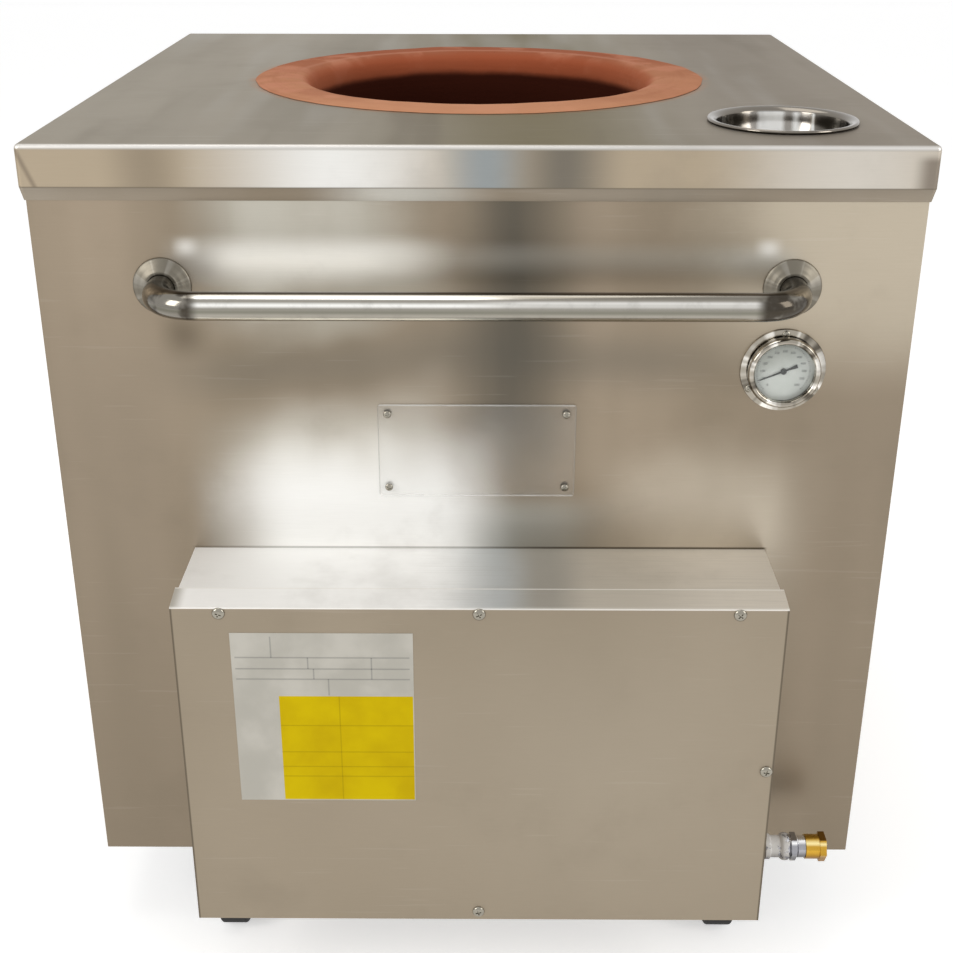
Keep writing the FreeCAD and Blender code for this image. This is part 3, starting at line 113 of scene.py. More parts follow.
class Finish:
    """A material under construction, on the piece's own object coordinates."""

    def __init__(self, name, **constants):
        self.material = bpy.data.materials.new(name)
        self.material.use_nodes = True
        self.tree = self.material.node_tree
        self.shader = self.tree.nodes["Principled BSDF"]
        for socket, number in constants.items():
            self.shader.inputs[socket.replace("_", " ")].default_value = number
        self.spot = self.node("TexCoord", out="Object")
        split = self.node("SeparateXYZ", inputs={0: self.spot}).socket.node
        self.x, self.y, self.z = (Value(self, split.outputs[axis]) for axis in "XYZ")

    def node(self, kind, settings=None, inputs=None, out=0):
        """A new node: first its settings, then the values or links of its sockets."""
        node = self.tree.nodes.new("ShaderNode" + kind)
        for name, setting in (settings or {}).items():
            setattr(node, name, setting)
        for name, given in (inputs or {}).items():
            self.plug(node.inputs[name], given)
        return Value(self, node.outputs[out])

    def plug(self, socket, given):
        if isinstance(given, Value):
            self.tree.links.new(given.socket, socket)
        elif socket.type == "RGBA" and len(given) == 3:
            socket.default_value = (*given, 1)
        else:
            socket.default_value = given

    def noise(self, scale, stretch=(1, 1, 1), detail=3.0, shift=(0, 0, 0), rough=0.5):
        """Noise about 1/scale metres across, shorter along the axes with a larger stretch."""
        place = self.node("Mapping", inputs={"Vector": self.spot, "Scale": stretch, "Location": shift})
        return self.node("TexNoise", inputs={"Vector": place, "Scale": scale, "Detail": detail,
                                             "Roughness": rough})

    def reach(self, **place):
        """Distance from a line through a place, across the two axes that are named."""
        offsets = {"xyz".index(axis): getattr(self, axis) - at for axis, at in place.items()}
        offset = self.node("CombineXYZ", inputs=offsets)
        return self.node("VectorMath", {"operation": "LENGTH"}, {0: offset}, out=1)

    def mix(self, factor, first, second):
        return self.node("Mix", {"data_type": "RGBA", "clamp_factor": True},
                         {0: factor, 6: first, 7: second}, out=2)

    def coats(self, colour, *coats):
        """A colour with others laid over it in turn, each given as (where it shows, colour)."""
        for shows, over in coats:
            colour = self.mix(shows, colour, over)
        return colour

    def bump(self, height, distance, strength=1.0):
        return self.node("Bump", inputs={"Height": height, "Distance": distance, "Strength": strength})

    def done(self, colour=None, roughness=None, normal=None, **others):
        for name, given in (("Base Color", colour), ("Roughness", roughness), ("Normal", normal),
                            *((key.replace("_", " "), item) for key, item in others.items())):
            if given is not None:
                self.plug(self.shader.inputs[name], given)
        return self.material


def shade(colour, share):
    """The same colour with a share of its light."""
    return [number * share for number in colour]


def satin(name, light, dark, streaks=(5, 5, 0.6), paint=None, roughness=0.3, **constants):
    """Satin stainless sheet: grain along X, soft upright streaks of painted reflection, smudges and fine
    scratches.
    """
    steel = Finish(name, **{"Metallic": 1.0, **constants})
    fine = steel.noise(30, (1, 60, 60), 4, rough=0.7)
    # painted reflection: wide upright streaks that mix the two tones
    blurred_reflections = steel.noise(1.0, streaks, 3, (3, 1, 7))
    smudge = steel.noise(9, detail=5, shift=(1, 4, 2), rough=0.6)
    scratch = steel.noise(9, (1, 25, 25), 2, (5, 5, 5)).ramp(0.66, 0.72)
    colour, shell = steel.mix(blurred_reflections.ramp(0.36, 0.66), dark, light), None
    if paint:
        colour, shell = paint(steel, colour)
    colour = steel.coats(colour, (smudge.ramp(0.5, 0.75) * 0.16, shade(dark, 0.72)),
                         (fine * 0.12, shade(dark, 0.55)), (scratch * 0.025, (0.8, 0.78, 0.74)))
    rough = roughness + fine * 0.08 + smudge * 0.12 - scratch * 0.03
    return steel.done(colour, rough, steel.bump(fine * 0.6 + smudge * 0.4, 0.0003, 0.2), Metallic=shell)


def polished(name, colour, roughness=0.07, paint=None):
    """Mirror-bright metal with faint swirls and finger marks."""
    steel = Finish(name, Metallic=1.0)
    marks = steel.noise(45, detail=5, rough=0.65)
    swirl = steel.noise(160, (1, 1, 0.15), 2, (2, 2, 2))
    shown, shell = paint(steel, colour) if paint else (colour, None)
    tint = steel.mix(marks.ramp(0.45, 0.8) * 0.3, shown, shade(colour, 0.6))
    return steel.done(tint, roughness + marks * 0.08 + swirl * 0.04, steel.bump(marks, 0.0003, 0.1),
                      Metallic=shell)


def plain_metal(name, light, dark, scale=30, roughness=0.4, relief=0.0006, metallic=1.0, rust=None):
    """Cast, plated or painted metal with mottling, a pitted skin and dirt."""
    metal = Finish(name, Metallic=metallic)
    mottle = metal.noise(scale, detail=5, rough=0.6)
    pits = metal.noise(scale * 14, detail=3, shift=(4, 2, 1))
    dirt = metal.noise(scale / 3, detail=4, shift=(9, 1, 3)).ramp(0.5, 0.72)
    colour = metal.mix(mottle.ramp(0.3, 0.7), dark, light)
    colour = metal.mix(dirt * 0.4, colour, rust or shade(dark, 0.5))
    return metal.done(colour, roughness + pits * 0.2 + dirt * 0.15 - 0.1,
                      metal.bump(mottle * 0.3 + pits * 0.7, relief, 0.5))


def fired_clay():
    """Unglazed clay smeared on by hand: finger runs, grit and pale scum, with painted shade at the rear, in
    the throat and in the sooty depths, and painted light on the front and along a pale rear edge of the
    mouth.
    """
    clay = Finish("fired_clay", Specular_IOR_Level=0.05)
    radius = clay.reach(x=MOUTH.x, y=MOUTH.y)
    ring = clay.node("CombineXYZ", inputs={0: radius * 60, 1: clay.z * 60, 2: clay.noise(2.5) * 3})
    runs = clay.node("TexNoise", inputs={"Vector": ring, "Scale": 1.4, "Detail": 4})
    patches = clay.noise(7, detail=5, rough=0.6)
    grit = clay.noise(260, detail=3, shift=(7, 3, 3))
    specks = clay.noise(420, detail=1, shift=(1, 8, 3)).ramp(0.7, 0.76)
    scum = clay.noise(12, detail=6, shift=(4, 4, 1), rough=0.7).ramp(0.6, 0.75)
    pink = clay.noise(20, detail=4, shift=(9, 2, 5)).ramp(0.50, 0.66)
    dull = clay.noise(15, detail=5, shift=(2, 9, 4)).ramp(0.52, 0.68)
    # painted shade darkens the rear, and painted light brightens the front and a pale rear edge round the
    # mouth
    rear_shade = (clay.y + (patches - 0.5) * 0.25).ramp(MOUTH.y - 0.02, MOUTH.y + 0.18)
    front = clay.y.ramp(MOUTH.y - 0.14, MOUTH.y - 0.23)
    rear_lip_highlight = radius.near(0.219, 0.006) * rear_shade
    # painted shade inside the throat, and near black deeper down: painted shade over sooty clay
    throat = radius.ramp(0.214, 0.200)
    soot_and_shade = (clay.z + (patches - 0.5) * 0.014).ramp(0.897, 0.885) * radius.ramp(0.36, 0.32)
    colour = clay.coats(
        clay.mix(patches.ramp(0.3, 0.7), (0.38, 0.160, 0.085), (0.47, 0.215, 0.120)),
        (rear_shade * 0.9, (0.290, 0.083, 0.040)), (runs.ramp(0.5, 0.8) * 0.4, (0.27, 0.088, 0.045)),
        (scum * 0.35, (0.56, 0.33, 0.21)), (specks * 0.5, (0.12, 0.05, 0.03)),
        (pink * 0.5, (0.52, 0.225, 0.140)), (dull * 0.4, (0.31, 0.115, 0.062)),
        (front * 0.5, (0.57, 0.285, 0.160)), (rear_lip_highlight * 0.45, (0.50, 0.24, 0.16)),
        (throat * 0.7, (0.33, 0.075, 0.030)), (soot_and_shade, (0.066, 0.015, 0.008)))
    relief = runs * 0.5 + grit * 0.15 + patches * 0.6
    return clay.done(colour, 0.86 + grit * 0.1, clay.bump(relief, 0.003, 0.5))


def fibre(name, light, dark):
    """Matted ceramic fibre."""
    wool = Finish(name)
    clumps = wool.noise(25, detail=6, rough=0.75)
    hairs = wool.noise(120, (1, 1, 9), 4, (3, 2, 1), 0.7)
    colour = wool.mix(clumps.ramp(0.3, 0.7), dark, light)
    colour = wool.mix(hairs.ramp(0.55, 0.7) * 0.4, colour, shade(dark, 0.75))
    return wool.done(colour, 0.95, wool.bump(clumps + hairs * 0.5, 0.006, 0.8))


def granules(name, light, dark):
    """Loose expanded grains a few millimetres across."""
    heap = Finish(name)
    grains = {"Vector": heap.spot, "Scale": 160.0}
    cells = heap.node("TexVoronoi", inputs=grains)
    grey = heap.node("SeparateColor", inputs={0: heap.node("TexVoronoi", inputs=grains, out="Color")})
    colour = heap.coats(dark, (grey, light), (cells.ramp(0.35, 0.7) * 0.8, shade(dark, 0.3)))
    return heap.done(colour, 0.95, heap.bump(1 - cells, 0.004, 0.9))


def moulded(name, light, dark, roughness=0.45, coat=0.0):
    """Moulded plastic or rubber with a fine skin and scuffs."""
    plastic = Finish(name, Coat_Weight=coat)
    skin = plastic.noise(900, detail=2)
    scuffs = plastic.noise(40, (1, 1, 4), 5, (2, 6, 1), 0.7).ramp(0.55, 0.75)
    colour = plastic.mix(scuffs * 0.5, dark, light)
    return plastic.done(colour, roughness + skin * 0.15 + scuffs * 0.15, plastic.bump(skin, 0.0004, 0.4))


def lid_paint(steel, colour):
    """Painted reflections: light and dark streaks over the lid's top, with a darker olive middle and right
    end; its edge shines in turns, with a painted highlight along its top; the strip below leans back into
    painted shade, with pale patches of painted reflection.
    """
    along = steel.x + (steel.noise(3, (1, 0.3, 0.3), 2) - 0.5) * 0.1
    down = LID_TOP - steel.z
    # painted reflections: light and dark streaks, a darker olive middle and a darker right end
    reflection_streak = steel.noise(9, (1, 0.12, 0.1), 3, (2, 8, 1))
    middle = along.near(0.05, 0.22)
    # orange clay smeared onto the steel round the oven's edge
    patchy = steel.reach(x=MOUTH.x, y=MOUTH.y).near(0.262, 0.016) * steel.noise(22, detail=4).ramp(0.35, 0.6)
    colour = steel.coats(
        colour, (middle * 0.75, (0.150, 0.125, 0.062)),
        (steel.x.ramp(0.12, 0.3) * 0.5, (0.185, 0.155, 0.130)),
        (reflection_streak.ramp(0.52, 0.7) * 0.4, (0.38, 0.37, 0.35)),
        (reflection_streak.ramp(0.42, 0.3) * 0.45, (0.13, 0.11, 0.085)), (patchy * 0.7, (0.36, 0.18, 0.10)))
    # painted reflections on the edge: pale, cool and dark patches, a dark line down the left corner's crease
    # and a darker right corner
    left_crease = (steel.x + 0.4325 - down * 0.42).near(0.0, 0.0045)
    right_corner = steel.x.ramp(0.404, 0.424) * down.ramp(0.006, 0.016)
    shine = steel.coats(
        (0.42, 0.345, 0.25), (along.near(-0.14, 0.16) + along.near(0.36, 0.16) * 0.5, (0.80, 0.79, 0.76)),
        (along.near(0.0, 0.06) * 0.85, (0.27, 0.31, 0.33)),
        (along.near(0.075, 0.07) * 0.9, (0.16, 0.145, 0.12)),
        (along.near(-0.31, 0.05) * 0.7, OLIVE), (left_crease * 0.5 + right_corner * 0.7, (0.13, 0.10, 0.075)))
    # painted highlight along the top edge
    fold_highlight = down.near(0.002, 0.0035) * steel.y.ramp(-0.366, -0.3695)
    # painted shade on the strip where it leans back, with pale patches of painted reflection and a dark line
    # where it starts
    strip = steel.mix(along.near(-0.08, 0.1) * 0.8 + steel.noise(6, (1, 1, 0.2), 3, (8, 1, 1)) * 0.4,
                      (0.19, 0.145, 0.095), (0.52, 0.50, 0.45))
    strip_from = 0.04
    colour = steel.coats(
        colour, (down.ramp(0.002, 0.006), shine),
        (fold_highlight * (0.85 - along.near(0.2, 0.12) * 0.15), (0.78, 0.76, 0.73)),
        (down.ramp(strip_from - 0.0005, strip_from + 0.0005), strip),
        (down.near(strip_from, 0.0012) * 0.6, (0.13, 0.11, 0.08)))
    return colour, 1 - down.ramp(0.0022, 0.0012) * (middle * 0.2 + 0.5)


def front_paint(steel, colour):
    """Painted reflections in soft upright streaks: light bands and patches, a dark stripe and a dark middle;
    painted shade at the sides, below the bar's left end and where the panel meets the hood; and a pale pool
    where the hood throws light up.
    """
    x, z = steel.x, steel.z
    across = x + (steel.noise(3.2, (1, 1, 0.5), 3, (6, 2, 2)) - 0.5) * 0.17
    height = z + (steel.noise(3.5, (1, 1, 1), 3, (1, 7, 2)) - 0.5) * 0.16
    # upright streaks that vary the painted light
    patchy = steel.noise(11, (1, 1, 0.1), 4, (2, 5, 1)).ramp(0.2, 0.6)
    # painted light: lighter bands and patches; painted reflection: a bright line above the bar, a dark stripe
    # and a dark middle; painted shade at the sides, below the bar's left end and where the panel meets the
    # hood
    upper_light_band = across.within(-0.240, -0.088, 0.045) * (patchy * 0.3 + 0.7) * height.ramp(0.725, 0.79)
    reflection_streak = across.within(-0.262, -0.062, 0.042) * z.near(0.802, 0.031)
    right = across.ramp(0.19, 0.31) * height.ramp(0.66, 0.77)
    dark_reflection_belt = across.within(-0.28, 0.25, 0.07) * (z * 0.6 + height * 0.4).near(0.694, 0.048)
    light_below_bar = across.within(-0.190, -0.050, 0.05) * height.near(0.738, 0.036)
    rising_light = across.within(-0.240, -0.050, 0.06) * height.ramp(0.675, 0.575)
    low_right_light = across.within(0.16, 0.30, 0.05) * height.ramp(0.62, 0.50)
    dark = across.within(-0.010, 0.080, 0.060) * height.ramp(0.535, 0.62) * (patchy * 0.3 + 0.7)
    gleam = z.near(0.804, 0.022) * x.within(-0.10, 0.30, 0.02)
    under = across.within(-0.02, 0.13, 0.05) * z.ramp(0.565, 0.525)
    glint = abs(x).near(0.279, 0.017) * z.near(0.815, 0.014)
    shade_below_end = x.near(-0.288, 0.034) * z.near(0.728, 0.034)
    pool = across.within(-0.250, 0.004, 0.055) * height.ramp(0.62, 0.53)
    sides = abs(across).ramp(0.25, 0.36) * z.ramp(0.85, 0.6)
    seam_shadow = abs(x - 0.003).ramp(0.302, 0.297) * z.within(HOOD_TOP - 0.006, HOOD_TOP + 0.0022, 0.0006)
    # the painted light and shade laid over the steel in turn
    colour = steel.coats(
        colour, (upper_light_band * 0.8, (0.56, 0.54, 0.475)), (reflection_streak * 0.95, (0.98, 0.96, 0.90)),
        (right * 0.8, (0.54, 0.475, 0.375)), (dark_reflection_belt * 0.55, (0.165, 0.145, 0.115)),
        (light_below_bar * 0.6, (0.44, 0.42, 0.36)), (rising_light * (patchy * 0.25 + 0.7), (0.68, 0.66, 0.60)),
        (low_right_light * 0.8, (0.74, 0.67, 0.56)), (dark * 0.92, (0.080, 0.075, 0.063)),
        (gleam * (x.ramp(0.20, 0.28) * 0.4 + 0.3), (0.58, 0.56, 0.50)), (under * 0.75, (0.54, 0.535, 0.49)),
        (glint * 0.65, (0.90, 0.88, 0.83)), (shade_below_end * 0.6, (0.10, 0.080, 0.055)),
        (pool, (1.0, 0.995, 0.97)), (sides * 0.38, (0.17, 0.140, 0.105)),
        (seam_shadow * (x.ramp(-0.02, 0.1) * 0.45 + 0.4), (0.085, 0.070, 0.050)))
    return colour, 1 - pool * (1 - seam_shadow) * 0.65


def hood_light(steel):
    """Light along the hood's top: white on the left, a dark turn right of the middle, then beige."""
    lines = steel.noise(14, (1, 40, 40), 3, (1, 1, 6)).ramp(0.45, 0.75)
    along = steel.x + (steel.noise(6, (1, 0.5, 1), 3, (2, 2, 5)) - 0.5) * 0.06
    return steel.coats(
        (1.0, 0.995, 0.975),
        (along.ramp(-0.06, 0.03), (0.50, 0.52, 0.52)), (along.ramp(0.02, 0.06), (0.38, 0.355, 0.31)),
        (along.ramp(0.07, 0.12), (0.55, 0.505, 0.43)), (along.ramp(0.15, 0.27), (0.69, 0.635, 0.55)),
        (lines * 0.18 * along.ramp(-0.1, 0.0), (0.36, 0.335, 0.29)))


def hood_paint(steel, colour):
    """The folded top catches the light, most of all on the left."""
    top = steel.z.ramp(HOOD_TOP - 0.0075, HOOD_TOP - 0.006)
    return steel.mix(top, colour, hood_light(steel)), 1 - top * 0.78


def cover_paint(steel, colour):
    """A matt face with a patch of painted light and painted shadow down its sides, below a flange that
    catches the light like the hood, with painted highlights along its edges.
    """
    low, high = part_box("gas_box_cover")
    top = steel.z.ramp(high.z - 0.0065, high.z - 0.0052)
    light = steel.x.near(0.12, 0.3) * steel.z.near(0.30, 0.3)
    middle, half = (low.x + high.x) / 2, (high.x - low.x) / 2
    # painted shadow down both sides of the cover
    sides = abs(steel.x - middle).ramp(half - 0.0024, half - 0.0012)
    # painted light on the flange, darker at its far left, and painted highlights along its edges
    shine = steel.mix(steel.x.ramp(-0.284, -0.298) * 0.8, hood_light(steel), (0.36, 0.33, 0.27))
    rear_edge_highlight = steel.y.near(low.y + 0.0315, 0.0016) * top
    front_edge_highlight = steel.z.near(high.z - 0.0056, 0.0012)
    colour = steel.coats(
        colour, (light * 0.25, (0.40, 0.355, 0.285)), (sides * 0.75, (0.080, 0.064, 0.045)), (top, shine),
        (rear_edge_highlight * 0.8 + front_edge_highlight * 0.7, (0.95, 0.93, 0.88)))
    return colour, 1 - top * 0.78


def sticker():
    """Coated paper with empty ruled boxes and a yellow block."""
    low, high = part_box("blank_label")
    paper = Finish("label_paper", Specular_IOR_Level=0.08)
    across = (paper.x - low.x) / (high.x - low.x)
    down = (high.z - paper.z) / (high.z - low.z)
    fade = paper.noise(20, detail=4)
    colour = paper.mix(fade.ramp(0.35, 0.7), (0.50, 0.48, 0.425), (0.60, 0.575, 0.515))
    rules = 0
    for place in (0.14, 0.205, 0.265):
        rules = rules + down.near(place, 0.007) * across.within(0.02, 0.98)
    for place, top, bottom in ((0.22, 0.02, 0.14), (0.42, 0.14, 0.205), (0.77, 0.14, 0.265),
                               (0.45, 0.205, 0.265), (0.53, 0.265, 0.36)):
        rules = rules + across.near(place, 0.007) * down.within(top, bottom)
    colour = paper.mix(rules * 0.55, colour, (0.20, 0.20, 0.19))
    block = across.within(0.25, 0.995) * down.within(0.365, 0.995)
    yellow = paper.mix(fade.ramp(0.3, 0.7), (0.60, 0.42, 0.0), (0.70, 0.52, 0.0))
    colour = paper.mix(block, colour, yellow)
    lines = across.near(0.585, 0.006)
    for place in (0.54, 0.70, 0.79, 0.85):
        lines = lines + down.near(place, 0.006)
    colour = paper.mix(lines * block * 0.5, colour, (0.36, 0.24, 0.0))
    return paper.done(colour, 0.42 + fade * 0.1, paper.bump(fade, 0.0004, 0.2))


def clear_plate():
    """Acrylic that shows what is behind it, with rubs and fine scratches, and sawn edges painted bright at
    the top and bottom and darker at the sides, as painted highlight and shade.
    """
    low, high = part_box("nameplate")
    plate = Finish("clear_acrylic", Roughness=0.06, IOR=1.49, Coat_Roughness=0.03)
    haze = plate.noise(18, detail=4)
    rubs = plate.noise(60, (1, 1, 12), 2, (3, 3, 3)).ramp(0.66, 0.74)
    flat_rim = 1 - plate.z.within(low.z + 0.0009, high.z - 0.0009)
    upright_rim = 1 - plate.x.within(low.x + 0.0009, high.x - 0.0009)
    # painted highlight on the top and bottom edges and painted shade on the side edges
    sawn = plate.mix(upright_rim, (0.92, 0.92, 0.90), (0.42, 0.41, 0.38))
    colour = plate.mix(haze.ramp(0.4, 0.7) * 0.4, (0.90, 0.91, 0.90), (0.80, 0.82, 0.80))
    colour = plate.mix(flat_rim + upright_rim, colour, sawn)
    return plate.done(colour, 0.05 + haze * 0.06 + rubs * 0.12,
                      Alpha=haze * 0.07 + 0.01 + rubs * 0.05 + flat_rim * (haze * 0.6) + upright_rim * 0.16)


def clear_glass():
    """Flat glass with a breath of dust."""
    glass = Finish("gauge_glass", IOR=1.5)
    haze = glass.noise(60, detail=4)
    return glass.done(glass.mix(haze, (0.96, 0.98, 0.97), (0.86, 0.90, 0.88)), 0.01 + haze * 0.03,
                      Alpha=haze * 0.05 + 0.02)


def enamel():
    """The thermometer's white dial, with painted shade that makes it greener and darker round its edge and at
    the upper left.
    """
    dial = Finish("dial_white", Coat_Weight=0.3)
    radius = dial.reach(x=GAUGE.x, z=GAUGE.z)
    dust = dial.noise(80, detail=4)
    colour = dial.mix(dust.ramp(0.3, 0.8), (0.70, 0.73, 0.69), (0.63, 0.67, 0.62))
    # painted shade at the upper left and round the edge
    upper = (dial.z - GAUGE.z - (dial.x - GAUGE.x) * 0.5).ramp(-0.004, 0.026)
    colour = dial.mix(upper * 0.6, colour, (0.27, 0.285, 0.235))
    colour = dial.mix(radius.ramp(0.024, 0.031) * 0.4, colour, (0.30, 0.32, 0.29))
    return dial.done(colour, 0.35, dial.bump(dust, 0.0002, 0.2))


def round_chrome(x, z, contrast, mirrored=False):
    """Painted reflections: bright and dark sectors round a polished ring, as a mirror finish shows them, and
    one side painted darker.
    """
    def paint(steel, colour):
        across = (abs(steel.x) if mirrored else steel.x) - x
        up = steel.z - z
        offset = steel.node("CombineXYZ", inputs={0: across, 2: up})
        way = steel.node("VectorMath", {"operation": "NORMALIZE"}, {0: offset})
        sectors = steel.node("TexNoise", inputs={"Vector": way, "Scale": 1.9, "Detail": 2.0})
        # painted reflection: one side of the ring darker
        dark = (across * 0.8 + up * 0.2).ramp(0.022, 0.040)
        return steel.coats(colour, (sectors.ramp(0.50, 0.62) * contrast, (0.95, 0.92, 0.86)),
                           (sectors.ramp(0.46, 0.36) * contrast, (0.055, 0.045, 0.033)),
                           (dark * contrast * 0.8, (0.07, 0.058, 0.043))), None
    return paint


def bar_paint(steel, colour):
    """Painted reflections: long bright and dark streaks on the bar's straight part, darker edges above and
    below, and dark elbows.
    """
    rise = steel.z - BAR_HEIGHT
    straight = abs(steel.x).ramp(0.268, 0.255)
    left = steel.x.ramp(0.06, -0.03)
    # painted reflections: dark blotches on the elbows, and bright and dark streaks along the bar
    elbow_dark_reflection = (1 - straight) * (steel.noise(42, shift=(5, 1, 2)).ramp(0.58, 0.44) * 0.55 + 0.4)
    colour = steel.coats(
        colour, (rise.near(0.0104, 0.0018) * left * straight * 0.9, (1.0, 0.97, 0.92)),
        (rise.near(0.0108, 0.0026) * (1 - left) * 0.75, (0.16, 0.145, 0.12)),
        (rise.near(0.0070, 0.0022) * (1 - left) * straight * 0.6, (0.95, 0.93, 0.90)),
        (rise.near(0.0046, 0.0034) * (left * 0.5 + 0.45) * straight, (1.0, 0.99, 0.95)),
        (rise.near(-0.0018, 0.0040) * 0.75, (0.150, 0.148, 0.115)),
        (rise.near(-0.0094, 0.0026) * (left * 0.6 + 0.35) * straight, (0.92, 0.88, 0.76)),
        (rise.ramp(0.0120, 0.0130) * 0.75, (0.10, 0.08, 0.07)),
        (rise.ramp(-0.0112, -0.0125) * 0.7, (0.10, 0.085, 0.07)), (elbow_dark_reflection, (0.045, 0.037, 0.028)))
    return colour, None


def bowl_paint(steel, colour):
    """Painted reflections: upright bright and dark streaks inside the bowl, and a rim as dull as the lid."""
    low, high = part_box("dip_bowl")
    across = steel.x - (low.x + high.x) / 2
    # painted reflections inside the bowl
    bright = across.within(-0.013, 0.014, 0.003) + across.near(0.026, 0.0055) + across.near(0.042, 0.0022)
    dark = across.ramp(-0.016, -0.035) + across.ramp(0.034, 0.050)
    inside = steel.z.ramp(LID_TOP + 0.0006, LID_TOP - 0.002)
    colour = steel.coats(colour, (dark * 0.9, (0.090, 0.080, 0.066)), (bright * 0.9, (0.86, 0.86, 0.84)),
                         (1 - inside, (0.19, 0.17, 0.145)))
    return colour, 1 - bright * inside * 0.6


def fitting_light(metal, node):
    """Painted highlight and painted shade: bright and dark lengths of a turned fitting, by height on it."""
    low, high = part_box(node)
    rise = (metal.z - (low.z + high.z) / 2) / ((high.z - low.z) / 2)
    return rise.near(0.74, 0.2), rise.ramp(0.93, 1.0) + rise.ramp(0.25, -0.45)


def sealed_fitting():
    """Plated union with white thread sealant smeared round its first half, and a painted highlight and
    painted shade along it.
    """
    fitting = Finish("chromed_fitting")
    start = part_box("inlet_union")[0].x
    bright, dark = fitting_light(fitting, "inlet_union")
    sealed = (fitting.x + (fitting.noise(70, detail=4) - 0.5) * 0.03).ramp(start + 0.027, start + 0.023)
    paste = sealed * fitting.noise(150, detail=4, shift=(3, 0, 2)).ramp(0.36, 0.46)
    marks = fitting.noise(120, detail=4)
    colour = fitting.coats(
        (0.42, 0.42, 0.45), (marks, (0.28, 0.28, 0.30)), (bright * 0.9, (1.0, 1.0, 1.0)),
        (dark * 0.8, (0.07, 0.065, 0.065)),
        (paste, fitting.mix(dark * 0.6, (0.76, 0.74, 0.71), (0.28, 0.26, 0.24))))
    return fitting.done(colour, 0.14 + marks * 0.12 + paste * 0.5,
                        fitting.bump(paste * 0.8 + marks * 0.2, 0.0012, 0.7), Metallic=1 - paste)


def lacquered_brass():
    """Turned brass with a painted highlight along one length and painted shade, brown, above and below it."""
    brass = Finish("turned_brass", Metallic=1.0)
    bright, dark = fitting_light(brass, "brass_adapter")
    marks = brass.noise(130, detail=4)
    colour = brass.coats((0.62, 0.37, 0.05), (marks, (0.52, 0.29, 0.035)), (bright * 0.85, (1.0, 0.86, 0.42)),
                         (dark * 0.8, (0.20, 0.095, 0.02)))
    return brass.done(colour, 0.2 + marks * 0.12, brass.bump(marks, 0.0002, 0.3))


def coat_the_nodes():
    """Every CAD node that shows as it is gets its own finish."""
    finishes = {
        satin("back_steel", BEIGE, OLIVE): ["back_panel"],
        satin("side_steel", BEIGE, OLIVE): ["left_panel", "right_panel"],
        plain_metal("galvanised", (0.36, 0.37, 0.37), (0.24, 0.25, 0.26), 60, 0.4, 0.0003):
            ["floor_pan", "supply_pipe", "burner_pipe"],
        plain_metal("primed_steel", (0.035, 0.034, 0.033), (0.015, 0.015, 0.016), 20, 0.55, 0.0005, 0.0,
                    (0.16, 0.06, 0.025)): ["corner_posts", "base_rails", "caster_rails"],
        plain_metal("fire_brick", (0.50, 0.42, 0.30), (0.36, 0.28, 0.19), 18, 0.85, 0.003, 0.0):
            ["pot_seat"],
        fibre("ceramic_fibre", (0.80, 0.79, 0.75), (0.62, 0.60, 0.55)): ["fibre_blanket"],
        granules("loose_insulation", (0.62, 0.52, 0.36), (0.36, 0.28, 0.17)): ["loose_fill"],
        plain_metal("cast_iron", (0.06, 0.058, 0.055), (0.025, 0.024, 0.024), 45, 0.65, 0.0015, 0.6,
                    (0.12, 0.045, 0.02)): ["burner_head", "flame_deflector"],
        plain_metal("burner_steel", (0.25, 0.22, 0.20), (0.10, 0.085, 0.09), 25, 0.45, 0.0006):
            ["mixer_tube", "air_shutter", "pilot_burner"],
        plain_metal("brass", (0.68, 0.42, 0.09), (0.52, 0.29, 0.045), 70, 0.28, 0.0003):
            ["gas_orifice", "burner_valve"],
        plain_metal("valve_casting", (0.42, 0.43, 0.44), (0.32, 0.33, 0.34), 90, 0.5, 0.0008):
            ["safety_valve"],
        moulded("black_plastic", (0.05, 0.05, 0.05), (0.018, 0.018, 0.02)): ["valve_knob"],
        moulded("red_plastic", (0.50, 0.05, 0.03), (0.40, 0.02, 0.015), 0.25, 0.4): ["reset_button"],
        plain_metal("pilot_aluminium", (0.62, 0.62, 0.63), (0.46, 0.46, 0.48), 60, 0.35, 0.0003):
            ["pilot_tube"],
        plain_metal("copper_lead", (0.62, 0.26, 0.12), (0.40, 0.15, 0.07), 80, 0.35, 0.0003):
            ["thermocouple"],
        sticker(): ["blank_label"],
        clear_glass(): ["gauge_glass"],
        enamel(): ["gauge_dial"],
        moulded("needle_black", (0.02, 0.022, 0.02), (0.01, 0.011, 0.01), 0.4): ["gauge_needle"],
        plain_metal("zinc_steel", (0.45, 0.45, 0.44), (0.30, 0.30, 0.30), 50, 0.35, 0.0004):
            [name for name in NODES if name.startswith(("caster_bolts", "caster_axle"))],
    }
    for material, names in finishes.items():
        for name in names:
            NODES[name].data.materials.clear()
            NODES[name].data.materials.append(material)


# Pieces ----------------------------------------------------------------------------------


def active():
    return bpy.context.view_layer.objects.active


def edit():
    bpy.ops.object.mode_set(mode="EDIT")


def leave():
    bpy.ops.object.mode_set(mode="OBJECT")


def modify(kind, **settings):
    """Add a modifier to the active piece and apply it."""
    modifier = active().modifiers.new(kind.lower(), kind)
    for name, setting in settings.items():
        setattr(modifier, name, setting)
    bpy.ops.object.modifier_apply(modifier=modifier.name)


def keep_as(name, body, material, replaces=(), smooth=35):
    """Name the active piece and give it its finish, its body and the nodes it stands for."""
    piece = active()
    bpy.ops.object.transform_apply(location=True, rotation=True, scale=True)
    if smooth:
        bpy.ops.object.shade_smooth_by_angle(angle=math.radians(smooth))
        modify("WEIGHTED_NORMAL", weight=100, keep_sharp=True)
    piece.name = name
    piece.data.name = name
    piece.data.materials.clear()
    piece.data.materials.append(material)
    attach(piece, body)
    if replaces:
        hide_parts(*replaces)
    bpy.ops.object.select_all(action="DESELECT")


